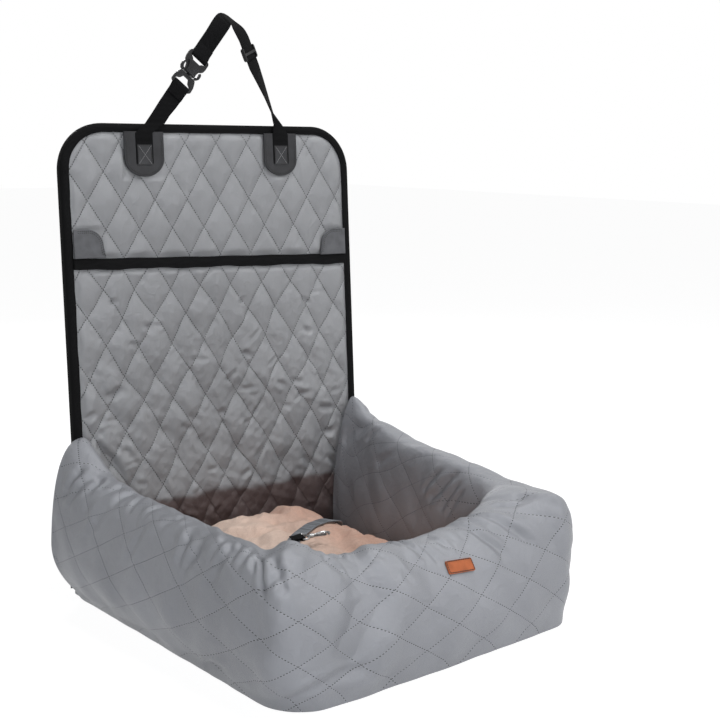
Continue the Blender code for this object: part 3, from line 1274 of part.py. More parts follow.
def foot_zip():
    """The zip that joins the panel's foot to the base, on the panel's rear face."""
    back = BINDING_BACK - GAP
    tape_back = back - ZIP_TAPE_THICKNESS
    low, high = ZIP_CENTRE - ZIP_TAPE_HEIGHT / 2, ZIP_CENTRE + ZIP_TAPE_HEIGHT / 2
    outline = box_outline(-ZIP_HALF_LENGTH, ZIP_HALF_LENGTH, low, high)
    verts, faces = prism(outline, tape_back, back, on_panel)
    mesh_object("zip_tape", verts, faces, "webbing")
    coil_back = tape_back - GAP - ZIP_COIL_THICKNESS
    outline = box_outline(-ZIP_HALF_LENGTH + 0.006, ZIP_HALF_LENGTH - 0.006,
                          ZIP_CENTRE - ZIP_COIL_HEIGHT / 2, ZIP_CENTRE + ZIP_COIL_HEIGHT / 2)
    verts, faces = prism(outline, coil_back, tape_back - GAP, on_panel)
    mesh_object("zip_coil", verts, faces, "plastic")

    start = -ZIP_HALF_LENGTH + 0.006 + ZIP_SLIDER_LENGTH / 2
    slider_matrix = panel_frame(start, ZIP_CENTRE, coil_back)
    axis = empty("zip_axis", slider_matrix)
    half_l, half_h = ZIP_SLIDER_LENGTH / 2, ZIP_SLIDER_HEIGHT / 2
    inner = ZIP_COIL_HEIGHT / 2 + RUN_CLEARANCE
    roof = -RUN_CLEARANCE
    depth = ZIP_COIL_THICKNESS - RUN_CLEARANCE
    section = ((-half_h, depth), (-half_h, roof - ZIP_SLIDER_WALL), (half_h, roof - ZIP_SLIDER_WALL),
               (half_h, depth), (inner, depth), (inner, roof), (-inner, roof), (-inner, depth))
    rings = [[slider_matrix @ Vector((x, s, n)) for s, n in section] for x in (-half_l, half_l)]
    verts, faces = loft(rings, ((0, 1, 6, 7), (1, 2, 5, 6), (2, 3, 4, 5)))
    body = mesh_object("zip_slider", verts, faces, "metal", axis)
    roof -= ZIP_SLIDER_WALL
    window = PULL_THICKNESS + 2 * PULL_SLACK
    half_b = BRIDGE_LENGTH / 2
    outline = [(-half_b, roof + RUN_CLEARANCE), (-half_b, roof - window - BRIDGE_TOP),
               (half_b, roof - window - BRIDGE_TOP), (half_b, roof + RUN_CLEARANCE),
               (half_b - BRIDGE_LEG, roof + RUN_CLEARANCE), (half_b - BRIDGE_LEG, roof - window),
               (-half_b + BRIDGE_LEG, roof - window), (-half_b + BRIDGE_LEG, roof + RUN_CLEARANCE)]
    rings = [[slider_matrix @ Vector((x, s, n)) for x, n in outline]
             for s in (-BRIDGE_WIDTH / 2, BRIDGE_WIDTH / 2)]
    verts, faces = loft(rings, ((0, 1, 6, 7), (1, 2, 5, 6), (2, 3, 4, 5)))
    join_solid(body, mesh_object("zip_bridge", verts, faces, "metal", axis))
    pull_matrix = slider_matrix @ Matrix.Translation((PULL_PIVOT, 0, roof - window / 2))
    pull_axis = empty("pull_axis", pull_matrix, axis)
    half_w, half_t = PULL_WIDTH / 2, PULL_THICKNESS / 2
    profile = arc(0, 0, half_t, -90, 90, 6) + [(-PULL_LENGTH, half_t), (-PULL_LENGTH, -half_t)]
    rings = [[pull_matrix @ Vector((x, s, n)) for x, n in profile] for s in (-half_w, half_w)]
    verts, faces = loft(rings)
    pull = mesh_object("zip_pull", verts, faces, "plastic", pull_axis)
    eye = BRIDGE_WIDTH / 2 + RUN_CLEARANCE
    cut(pull, local_box("pull_eye", pull_matrix, -half_t - PULL_EYE_LENGTH, -half_t, -eye, eye,
                        -0.004, 0.004, pull_axis))


def main():
    clear_scene()
    fold = empty("fold_axis", panel_frame(0, FOLD_HEIGHT, POCKET_FRONT))
    swing = empty("strap_axis", panel_frame(0, STRAP_AXIS_S, STRAP_N), fold)
    base_and_pad()
    bolster_cover()
    bolster_fills()
    end_gussets()
    cushion()
    back_panel(fold)
    bindings(fold)
    pocket_band(fold)
    strap_patches(fold)
    straps(swing)
    buckle(swing)
    strap_slider(swing)
    label()
    tether()
    foot_zip()


main()
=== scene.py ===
"""Looks of the padded dog car seat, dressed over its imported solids."""

import math
from contextlib import contextmanager

import bmesh
import bpy
import numpy as np
from mathutils import Matrix, Vector


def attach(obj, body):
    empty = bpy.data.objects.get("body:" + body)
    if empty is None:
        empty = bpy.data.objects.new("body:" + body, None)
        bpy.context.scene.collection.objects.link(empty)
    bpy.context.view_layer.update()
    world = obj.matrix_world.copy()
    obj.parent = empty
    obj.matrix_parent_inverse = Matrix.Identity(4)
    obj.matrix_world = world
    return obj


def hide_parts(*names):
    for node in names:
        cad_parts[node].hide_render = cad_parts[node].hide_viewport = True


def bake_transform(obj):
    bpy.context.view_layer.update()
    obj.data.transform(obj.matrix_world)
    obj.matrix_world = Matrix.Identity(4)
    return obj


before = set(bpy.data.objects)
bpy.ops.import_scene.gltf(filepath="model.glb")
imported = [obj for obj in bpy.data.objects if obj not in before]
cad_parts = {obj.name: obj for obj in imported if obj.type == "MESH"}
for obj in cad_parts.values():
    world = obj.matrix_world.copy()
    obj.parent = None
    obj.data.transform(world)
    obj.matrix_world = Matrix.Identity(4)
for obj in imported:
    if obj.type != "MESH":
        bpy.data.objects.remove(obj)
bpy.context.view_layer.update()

# Sizes that the solids have too, in metres
PANEL_LEAN = math.radians(4.2)
PANEL_X, PANEL_Y = 0.0035, 0.260
PANEL_HALF, PANEL_TOP, PANEL_FOOT = 0.271, 0.731, 0.0085
PANEL_RADIUS = 0.074
FOLD = 0.269
POCKET_FRONT, QUILT_BACK, LINING_BACK = -0.0040, -0.0118, -0.0177
TAPE_FRONT, TAPE_BACK, TAPE_WIDTH = -0.0025, -0.0192, 0.0138
UNDER_TAPE = 0.0042  # from the panel's edge to the cloth's, inside the folded tape
CELL_WIDTH, CELL_HEIGHT = 0.0586, 0.0898
BAND_HALF = 0.0085
TAB_WIDTH, TAB_HEIGHT, TAB_RADIUS = 0.050, 0.044, 0.026
PATCH_X, PATCH_FOOT = 0.1285, 0.648
STRAP_N = 0.00275
STRAND_FOOT, STRAND_HEAD = (0.1245, 0.73235), (0.0820, 0.82575)
BUCKLE_X, BUCKLE_S, BUCKLE_TURN = -0.0603, 0.789, math.radians(38.5)
BASE_REAR = 0.285
WALL_OUTER = (0.275, 0.062, 0.046, -0.313, -0.268)  # half width, left and right radius, left and right front
WALL_INNER = (0.213, 0.040, 0.040, -0.205, -0.160)
CUSHION_Y, CUSHION_SKEW, CUSHION_BASE = 0.037, 0.016, 0.0189


# Helpers for numbers

def mix(a, b, t):
    return a + (b - a) * t


def ease(t):
    t = np.clip(t, 0.0, 1.0)
    return t * t * (3 - 2 * t)


def table(points, t):
    """Reads a list of (place, value) pairs at t, in straight lines."""
    places, values = zip(*points)
    return np.interp(t, places, values)


def eased(points, t):
    """Reads a list of (place, value) pairs at t, easing between them."""
    t = np.asarray(t, float)
    value = np.full(t.shape, float(points[0][1]))
    for (t0, v0), (t1, v1) in zip(points, points[1:]):
        value = np.where(t > t0, mix(v0, v1, ease((t - t0) / (t1 - t0))), value)
    return value


def ripple(x, y, size, seed, waves=9):
    """Smooth random waves about as long as size, from -1 to 1."""
    rng = np.random.RandomState(seed)
    total = np.zeros(np.broadcast(x, y).shape)
    for _ in range(waves):
        turn = rng.uniform(0, 2 * math.pi)
        pitch = 2 * math.pi / (size * rng.uniform(0.7, 1.6))
        total += np.sin((x * math.cos(turn) + y * math.sin(turn)) * pitch + rng.uniform(0, 6.28))
    return total / math.sqrt(waves) / 1.4


def crease(u, v, path, depth, width):
    """The dent of one fold that runs along a path, with a lip on either side of it."""
    dent = np.zeros(u.shape)
    path = np.array(path, float)
    lengths = np.linalg.norm(np.diff(path, axis=0), axis=1)
    total, start = lengths.sum(), 0.0
    best = np.full(u.shape, 1e9)
    for (p, q), length in zip(zip(path, path[1:]), lengths):
        along = (q - p) / length
        t = np.clip((u - p[0]) * along[0] + (v - p[1]) * along[1], 0, length)
        du, dv = u - p[0] - t * along[0], v - p[1] - t * along[1]
        far = np.hypot(du, dv)
        side = np.sign(along[0] * dv - along[1] * du)
        share = (start + t) / total
        fade = ease(share / 0.22) * ease((1 - share) / 0.35)
        d = far * side / width
        shape = -np.exp(-d * d) + 0.55 * np.exp(-(d - 1.7) ** 2) + 0.30 * np.exp(-(d + 1.9) ** 2)
        dent = np.where(far < best, shape * fade * depth, dent)
        best = np.minimum(best, far)
        start += length
    return dent


def catmull(points, steps):
    """A smooth curve through points, with the given steps between each pair."""
    points = [np.array(p, float) for p in points]
    padded = [2 * points[0] - points[1], *points, 2 * points[-1] - points[-2]]
    curve = []
    for p0, p1, p2, p3 in zip(padded, padded[1:], padded[2:], padded[3:]):
        for k in range(steps):
            t = k / steps
            curve.append(0.5 * (2 * p1 + (p2 - p0) * t + (2 * p0 - 5 * p1 + 4 * p2 - p3) * t * t
                                + (3 * p1 - p0 - 3 * p2 + p3) * t ** 3))
    curve.append(points[-1])
    return np.array(curve)


# Helpers for pieces

def deselect():
    if bpy.context.object and bpy.context.object.mode != "OBJECT":
        bpy.ops.object.mode_set(mode="OBJECT")
    bpy.ops.object.select_all(action="DESELECT")


def active(name):
    piece = bpy.context.object
    piece.name = piece.data.name = name
    return piece


def grid(name, columns, rows):
    """A flat grid to be laid out, and its vertices' shares across and up it."""
    deselect()
    bpy.ops.mesh.primitive_grid_add(x_subdivisions=columns, y_subdivisions=rows, size=2)
    piece = active(name)
    count = len(piece.data.vertices)
    flat = np.zeros(count * 3)
    piece.data.vertices.foreach_get("co", flat)
    flat = flat.reshape(-1, 3)
    return piece, (flat[:, 0] + 1) / 2, (flat[:, 1] + 1) / 2


def lay(piece, places):
    piece.data.vertices.foreach_set("co", np.asarray(places, np.float32).ravel())
    piece.data.update()


def set_uv(piece, u, v):
    """Gives each corner of the mesh its vertex's own place on the cloth."""
    corners = np.zeros(len(piece.data.loops), int)
    piece.data.loops.foreach_get("vertex_index", corners)
    layer = piece.data.uv_layers.active or piece.data.uv_layers.new(name="UVMap")
    layer.data.foreach_set("uv", np.stack([u[corners], v[corners]], 1).astype(np.float32).ravel())


def clear_seams(piece):
    """Keeps seams off the faces added to a cloth, whose place on it would be a whole number."""
    layer = piece.data.uv_layers.active
    flat = np.zeros(len(piece.data.loops) * 2, np.float32)
    layer.data.foreach_get("uv", flat)
    places = flat.reshape(-1, 2)
    places[np.all(places == 0, axis=1)] = 0.5
    layer.data.foreach_set("uv", places.ravel())


@contextmanager
def opened(piece):
    """The piece's mesh, open for editing and written back afterwards."""
    shape = bmesh.new()
    shape.from_mesh(piece.data)
    yield shape
    shape.to_mesh(piece.data)
    shape.free()


def pick(piece):
    deselect()
    piece.select_set(True)
    bpy.context.view_layer.objects.active = piece


def modify(piece, kind, **settings):
    pick(piece)
    modifier = piece.modifiers.new(kind.lower(), kind)
    for key, value in settings.items():
        setattr(modifier, key, value)
    bpy.ops.object.modifier_apply(modifier=modifier.name)


def bevel(piece, width, segments, angle):
    modify(piece, "BEVEL", width=width, segments=segments, limit_method="ANGLE", angle_limit=math.radians(angle))


def smooth(piece, angle=None):
    pick(piece)
    if angle is None:
        bpy.ops.object.shade_smooth()
    else:
        bpy.ops.object.shade_smooth_by_angle(angle=math.radians(angle))


def dress(piece, material, body=None, stands_for=()):
    piece.data.materials.clear()
    piece.data.materials.append(material)
    if stands_for:
        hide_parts(*stands_for)
    if body:
        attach(piece, body)
    return piece


def add_object(name, data):
    made = bpy.data.objects.new(name, data)
    bpy.context.scene.collection.objects.link(made)
    return made


def mesh_piece(name, verts, faces):
    mesh = bpy.data.meshes.new(name)
    mesh.from_pydata([tuple(v) for v in verts], [], faces)
    mesh.update()
    return add_object(name, mesh)


def sweep(name, rings):
    """A solid through rings of points, with flat ends."""
    count, size = len(rings), len(rings[0])
    verts = [p for ring in rings for p in ring]
    faces = []
    for k in range(count - 1):
        a, b = k * size, (k + 1) * size
        faces += [(a + i, a + (i + 1) % size, b + (i + 1) % size, b + i) for i in range(size)]
    faces += [tuple(range(size - 1, -1, -1)), tuple((count - 1) * size + i for i in range(size))]
    piece = mesh_piece(name, verts, faces)
    face_out(piece)
    return piece


def face_out(piece):
    with opened(piece) as shape:
        bmesh.ops.recalc_face_normals(shape, faces=shape.faces)


def node_copy(name, node_name):
    """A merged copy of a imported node's mesh, to be refined."""
    piece = add_object(name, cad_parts[node_name].data.copy())
    with opened(piece) as shape:
        bmesh.ops.remove_doubles(shape, verts=shape.verts, dist=1e-5)
        bmesh.ops.dissolve_limit(shape, angle_limit=math.radians(1), verts=shape.verts, edges=shape.edges)
    return piece


def on_panel(x, s, n):
    """Places on the back panel: x across it, s up it from the floor, n out of its face."""
    x, s, n = np.broadcast_arrays(x, s, n)
    sin, cos = math.sin(PANEL_LEAN), math.cos(PANEL_LEAN)
    return np.stack([PANEL_X + x, PANEL_Y + s * sin - n * cos, s * cos + n * sin], -1)


def panel_half(s, inset):
    """Half the panel's width at height s, drawn in round its upper corners."""
    radius = PANEL_RADIUS - inset
    rise = np.clip(s - (PANEL_TOP - inset - radius), 0, radius)
    return PANEL_HALF - inset - radius + np.sqrt(np.maximum(radius * radius - rise * rise, 0))


def band_middle(x):
    return mix(0.5160, 0.5040, (x + PANEL_HALF) / (2 * PANEL_HALF))


# Materials

def feed(tree, made, values):
    """Sets a node's inputs, or links them where a value is another node's output."""
    for key, value in values.items():
        if isinstance(value, bpy.types.NodeSocket):
            tree.links.new(value, made.inputs[key])
        else:
            made.inputs[key].default_value = value


def node(tree, kind, inputs=None, **settings):
    made = tree.nodes.new(kind)
    for key, value in settings.items():
        setattr(made, key, value)
    feed(tree, made, inputs or {})
    return made


def new_material(name, colour, roughness, sheen=0.0, shine=0.5, metallic=0.0):
    material = bpy.data.materials.new(name)
    material.use_nodes = True
    tree = material.node_tree
    shader = tree.nodes["Principled BSDF"]
    feed(tree, shader, {"Base Color": (*colour, 1), "Roughness": roughness, "Sheen Weight": sheen,
                        "Sheen Roughness": 0.4, "Specular IOR Level": shine, "Metallic": metallic})
    return material, tree, shader


def math_node(tree, operation, a, b=None):
    inputs = {0: a} if b is None else {0: a, 1: b}
    return node(tree, "ShaderNodeMath", inputs, operation=operation).outputs[0]


def place_on(tree, kind="Object"):
    return node(tree, "ShaderNodeTexCoord").outputs[kind]


def noise(tree, place, scale, **values):
    return node(tree, "ShaderNodeTexNoise", {"Vector": place, "Scale": scale, **values}).outputs["Fac"]


def tint(colour, *factors):
    """A colour times one factor, or one for each channel, no brighter than white."""
    factors = factors * 3 if len(factors) == 1 else factors
    return tuple(min(c * f, 1) for c, f in zip(colour, factors))


def ramp(tree, value, dark, light, low=0.3, high=0.7):
    made = node(tree, "ShaderNodeValToRGB", {"Fac": value})
    first, last = made.color_ramp.elements
    first.position, last.position = low, high
    first.color, last.color = (*dark, 1), (*light, 1)
    return made.outputs["Color"]


def blend_colour(tree, kind, share, a, b):
    a, b = (c if isinstance(c, bpy.types.NodeSocket) else (*c, 1) for c in (a, b))
    return node(tree, "ShaderNodeMix", {0: share, 6: a, 7: b}, data_type="RGBA", blend_type=kind).outputs[2]


def bump(tree, height, strength, distance, normal=None):
    inputs = {"Strength": strength, "Distance": distance, "Height": height}
    if normal is not None:
        inputs["Normal"] = normal
    return node(tree, "ShaderNodeBump", inputs).outputs["Normal"]


def group(name, inputs, outputs):
    """A node group: its inputs as label and value, where None stands for a place, and its outputs' labels."""
    made = bpy.data.node_groups.new(name, "ShaderNodeTree")
    for label, value in inputs.items():
        kind = "NodeSocketVector" if value is None else "NodeSocketFloat"
        socket = made.interface.new_socket(label, in_out="INPUT", socket_type=kind)
        if value is not None:
            socket.default_value = value
    for label in outputs:
        made.interface.new_socket(label, in_out="OUTPUT", socket_type="NodeSocketFloat")
    return made, made.nodes.new("NodeGroupInput").outputs, made.nodes.new("NodeGroupOutput")


def make_weave_group():
    """Woven threads and soft blotches: a height for bump, a shade for colour, and a crumple for bump."""
    made, start, end = group("woven_cloth", {"Vector": None, "Threads": 900.0, "Blotch": 9.0, "Crinkle": 60.0},
                             ("Height", "Shade", "Crumple"))
    place = start["Vector"]
    waves = [node(made, "ShaderNodeTexWave", {"Distortion": 0.6, "Vector": place, "Scale": start["Threads"]},
                  wave_type="BANDS", bands_direction=axis).outputs["Fac"] for axis in ("X", "Y", "Z")]
    threads = math_node(made, "MULTIPLY", math_node(made, "ADD", waves[0], waves[1]), waves[2])
    feed(made, end, {"Height": threads, "Shade": noise(made, place, start["Blotch"], Detail=5),
                     "Crumple": noise(made, place, start["Crinkle"], Detail=3, Distortion=1.6)})
    return made


def make_stitch_group():
    """Stitched seams at the whole numbers of a UV map: thread dashes, and the groove they lie in."""
    made, start, end = group("seam_stitches", {"Vector": None, "Groove": 0.026, "Thread": 0.011, "Pitch": 13.0},
                             ("Line", "Dash", "Depth"))
    split = node(made, "ShaderNodeSeparateXYZ", {0: start["Vector"]}).outputs
    lines, dashes = [], []
    for here, other in (("X", "Y"), ("Y", "X")):
        away = math_node(made, "ABSOLUTE", math_node(made, "SUBTRACT", split[here],
                                                     math_node(made, "ROUND", split[here])))
        share = math_node(made, "MINIMUM", math_node(made, "DIVIDE", away, start["Groove"]), 1.0)
        lines.append(math_node(made, "SUBTRACT", 1.0, share))
        beat = math_node(made, "FRACT", math_node(made, "MULTIPLY", split[other], start["Pitch"]))
        dashes.append(math_node(made, "MULTIPLY", math_node(made, "LESS_THAN", away, start["Thread"]),
                                math_node(made, "LESS_THAN", beat, 0.48)))
    line, dash = math_node(made, "MAXIMUM", *lines), math_node(made, "MAXIMUM", *dashes)
    depth = math_node(made, "SUBTRACT", math_node(made, "MULTIPLY", dash, 0.6), line)
    feed(made, end, {"Line": line, "Dash": dash, "Depth": depth})
    return made


def make_grain_group():
    """Leather's pebbled grain: a height for bump."""
    made, start, end = group("pebbled_grain", {"Vector": None, "Grain": 700.0}, ("Height",))
    pebbles = node(made, "ShaderNodeTexVoronoi", {"Vector": start["Vector"], "Scale": start["Grain"]}).outputs
    feed(made, end, {"Height": pebbles["Distance"]})
    return made


def make_skin_group():
    """A moulding's fine skin, a height for bump, and its worn patches, for roughness and colour."""
    made, start, end = group("moulded_skin", {"Vector": None, "Skin": 1500.0, "Patches": 120.0},
                             ("Height", "Wear"))
    feed(made, end, {"Height": noise(made, start["Vector"], start["Skin"]),
                     "Wear": noise(made, start["Vector"], start["Patches"])})
    return made


def make_zone_group():
    """A zone with a drifting edge: 0 before its start and Most past its end, easing between them."""
    made, start, end = group("uneven_zone", {"Place": 0.0, "Noise": 0.5, "Drift": 0.0, "Start": 0.0, "End": 1.0,
                                             "Most": 1.0}, ("Share",))
    drift = math_node(made, "MULTIPLY", math_node(made, "SUBTRACT", start["Noise"], 0.5), start["Drift"])
    share = node(made, "ShaderNodeMapRange", {
        "Value": math_node(made, "ADD", start["Place"], drift), "From Min": start["Start"],
        "From Max": start["End"], "To Max": start["Most"]}, interpolation_type="SMOOTHSTEP").outputs["Result"]
    feed(made, end, {"Share": share})
    return made


WEAVE = make_weave_group()
STITCHES = make_stitch_group()
GRAIN = make_grain_group()
SKIN = make_skin_group()
ZONE = make_zone_group()


def placed(tree, effect, **values):
    """What a group puts out in a material, with the values that differ from its own."""
    return node(tree, "ShaderNodeGroup", values, node_tree=effect).outputs


def woven(tree, **values):
    return placed(tree, WEAVE, Vector=place_on(tree), **values)


def cloth(name, colour, roughness=0.6, threads=900.0, crinkle=60.0, crinkle_depth=0.0006, stitched=False,
          seam_highlight=(0.60, 1.40), groove=0.0008, gleam=0.0):
    """A woven cloth, with quilting stitches on its UV map's whole numbers where it is stitched, and a painted
    highlight along each seam.
    """
    material, tree, shader = new_material(name, colour, roughness, metallic=gleam)
    weave = woven(tree, Threads=threads, Crinkle=crinkle)
    shade = ramp(tree, weave["Shade"], tint(colour, 0.92), tint(colour, 1.08))
    normal = bump(tree, weave["Height"], 0.5, 0.0002)
    normal = bump(tree, weave["Crumple"], 1.0, crinkle_depth, normal)
    if stitched:
        # Painted highlight: each seam line is mixed lighter than the cloth, and the dark thread dashes lie over it
        strength, highlight_lift = seam_highlight
        seams = placed(tree, STITCHES, Vector=place_on(tree, "UV"))
        line = math_node(tree, "MULTIPLY", seams["Line"], strength)
        shade = blend_colour(tree, "MIX", line, shade, tint(colour, highlight_lift))
        shade = blend_colour(tree, "MIX", seams["Dash"], shade, tint(colour, 0.12))
        normal = bump(tree, seams["Depth"], 1.0, groove, normal)
    feed(tree, shader, {"Base Color": shade, "Normal": normal})
    return material


def paint_foot_shade(material, colour, edge, soft):
    """Painted shade: a darker, brown zone painted over the foot of a cloth, standing in for the shadow where it goes
    down behind the cushion.
    """
    tree = material.node_tree
    shader = tree.nodes["Principled BSDF"]
    unshaded_colour = shader.inputs["Base Color"].links[0].from_socket
    place = place_on(tree)
    height = node(tree, "ShaderNodeSeparateXYZ", {0: place}).outputs["Z"]
    # How much of the painted shade lies at each place: all of it below the edge height, none above, with a drifting
    # edge
    low = placed(tree, ZONE, Place=height, Noise=noise(tree, place, 28.0), Drift=0.022, Start=edge + soft,
                 End=edge - soft)["Share"]
    feed(tree, shader, {"Base Color": blend_colour(tree, "MIX", low, unshaded_colour, colour)})


def webbing(name, colour, rib=420.0, roughness=0.62):
    """Black or grey narrow woven tape with ribs across it."""
    material, tree, shader = new_material(name, colour, roughness, shine=0.08)
    ribs = woven(tree, Threads=rib)["Height"]
    feed(tree, shader, {"Base Color": ramp(tree, ribs, tint(colour, 0.7), tint(colour, 1.4), 0.1, 0.9),
                        "Normal": bump(tree, ribs, 0.5, 0.0003)})
    return material


def leather(name, colour, roughness=0.45, grain=700.0, shine=0.25):
    """Leather-look sheet: pebbled grain and slight wear."""
    material, tree, shader = new_material(name, colour, roughness, shine=shine)
    pebbles = placed(tree, GRAIN, Vector=place_on(tree), Grain=grain)["Height"]
    worn = woven(tree, Blotch=60.0)["Shade"]
    feed(tree, shader, {"Base Color": ramp(tree, worn, tint(colour, 0.8), tint(colour, 1.2)),
                        "Normal": bump(tree, pebbles, 0.5, 0.0003)})
    return material


def moulded(name, colour, roughness=0.38, metallic=0.0, grain=0.5, shine=0.5):
    """Moulded plastic or cast metal, with a fine skin and worn, smoother patches."""
    material, tree, shader = new_material(name, colour, roughness, shine=shine, metallic=metallic)
    skin = placed(tree, SKIN, Vector=place_on(tree))
    rough = math_node(tree, "ADD", math_node(tree, "MULTIPLY", skin["Wear"], 0.2), roughness - 0.1)
    feed(tree, shader, {"Base Color": ramp(tree, skin["Wear"], tint(colour, 0.85), tint(colour, 1.15)),
                        "Roughness": rough, "Normal": bump(tree, skin["Height"], grain, 0.0001)})
    return material


def plush(name, colour, highlight_colour):
    """Short-pile plush: soft mottled colour, a painted highlight that makes it paler at its left, tufts and a strong
    sheen.
    """
    material, tree, shader = new_material(name, colour, 0.95, 0.35, 0.1)
    place = place_on(tree)
    tufts = noise(tree, place, 420, Detail=4, Distortion=1.2)
    mottle = noise(tree, place, 30, Detail=6)
    shade = ramp(tree, mottle, tint(colour, 0.92, 0.86, 0.84), tint(colour, 1.04, 1.09, 1.12), 0.35, 0.65)
    fine = ramp(tree, tufts, (0.86, 0.84, 0.82), (1.0, 1.0, 1.0), 0.35, 0.65)
    across = node(tree, "ShaderNodeSeparateXYZ", {0: place}).outputs["X"]
    # Painted highlight: the colour eases to a pale cream towards the cushion's left, where light catches the plush
    left = placed(tree, ZONE, Place=across, Noise=mottle, Drift=0.08, Start=0.045, End=-0.105, Most=0.80)["Share"]
    shade = blend_colour(tree, "MIX", left, shade, highlight_colour)
    normal = bump(tree, mottle, 0.5, 0.0030, bump(tree, tufts, 1.0, 0.0014))
    feed(tree, shader, {"Base Color": blend_colour(tree, "MULTIPLY", 1.0, shade, fine), "Normal": normal,
                        "Sheen Tint": (1.0, 0.88, 0.80, 1)})
    return material


PANEL_GREY, WALL_GREY = (0.275, 0.280, 0.292), (0.285, 0.292, 0.316)
SATIN = dict(roughness=0.42, threads=700.0, gleam=0.22)
finishes = {
    "panel": cloth("panel_satin", PANEL_GREY, stitched=True, **SATIN),
    "pocket": cloth("pocket_satin", PANEL_GREY, crinkle=45.0, crinkle_depth=0.0012, stitched=True, **SATIN),
    "bolster": cloth("wall_satin", WALL_GREY, crinkle=38.0, crinkle_depth=0.0014, stitched=True,
                     seam_highlight=(0.45, 1.30), groove=0.0002, **SATIN),
    "lining": cloth("lining_cloth", (0.090, 0.092, 0.098), 0.75, crinkle=25.0),
    "base": cloth("base_cloth", WALL_GREY, crinkle=38.0, **SATIN),
    "binding": webbing("binding_tape", (0.0075, 0.0075, 0.0080), 520.0, 0.85),
    "webbing": webbing("strap_webbing", (0.0055, 0.0055, 0.0060), roughness=0.85),
    "tether": webbing("tether_webbing", (0.185, 0.195, 0.210), 500.0),
    "leather": leather("patch_leather", (0.026, 0.0262, 0.029), 0.42),
    "boxed": leather("boxed_leather", (0.034, 0.0345, 0.038), 0.40),
    "tab": leather("tab_leather", (0.110, 0.112, 0.120), 0.55),
    "label": leather("label_leather", (0.450, 0.128, 0.048), 0.5, 500.0),
    # The plush's last colour is its painted highlight, paler towards its left
    "plush": plush("cushion_plush", (0.680, 0.435, 0.340), (0.92, 0.74, 0.63)),
    "plastic": moulded("black_plastic", (0.0060, 0.0060, 0.0068), 0.40, grain=0.08, shine=0.28),
    "metal": moulded("polished_metal", (0.40, 0.40, 0.40), 0.30, 1.0, 0.2),
    "board": moulded("board_sheet", (0.72, 0.72, 0.70), 0.6),
}
# Painted shade, tinted brown, over the pocket's foot below about 0.131 m, standing in for the shadow behind the
# cushion
paint_foot_shade(finishes["pocket"], (0.078, 0.054, 0.052), 0.131, 0.007)
THREAD = cloth("stitching_thread", (0.010, 0.010, 0.011), threads=2500.0)
GREY_THREAD = cloth("patch_thread", (0.16, 0.16, 0.165), 0.5, threads=2500.0)
PALE_THREAD = cloth("label_thread", (0.040, 0.013, 0.007), threads=2500.0)


# Bed wall: stations run along the foot from the left arm's tip to the right arm's tip

GUSSET = 0.0031
WALL_FOOT = 0.0063
HEM_DROP = 0.0052
LABEL_AT = (0.895, 0.135)  # along the wall and up over it
ARM, CORNER, FRONT = 8, 6, 10
LAST = 2 * ARM + 2 * CORNER + FRONT
FIRST_CORNER, LAST_CORNER = ARM + CORNER // 2, LAST - ARM - CORNER // 2


def arc(centre, radius, start, end, steps):
    """Points round part of a circle, from one angle to another in degrees."""
    turns = (math.radians(mix(start, end, k / steps)) for k in range(steps + 1))
    return [(centre[0] + radius * math.cos(turn), centre[1] + radius * math.sin(turn)) for turn in turns]


def foot_path(half, left_radius, right_radius, front_left, front_right, bow=0.004):
    rear = PANEL_Y - GUSSET
    points = [(-half, mix(rear, front_left + left_radius, k / ARM)) for k in range(ARM)]
    points += arc((-half + left_radius, front_left + left_radius), left_radius, 180, 270, CORNER)
    for k in range(1, FRONT):
        t = k / FRONT
        points.append((mix(-half + left_radius, half - right_radius, t),
                       mix(front_left, front_right, t) - bow * 4 * t * (1 - t)))
    points += arc((half - right_radius, front_right + right_radius), right_radius, 270, 360, CORNER)
    points += [(half, mix(front_right + right_radius, rear, k / ARM)) for k in range(1, ARM + 1)]
    return np.array(points)


def rounded_path(points, t):
    """The foot path read at t, with its kinks between stations smoothed."""
    t = np.asarray(t, float)
    read = [np.stack([np.interp(np.clip(t + d, 0, LAST), np.arange(LAST + 1), points[:, k])
                      for k in range(2)], -1) for d in (-0.4, 0.0, 0.4)]
    return (read[0] + 2 * read[1] + read[2]) / 4


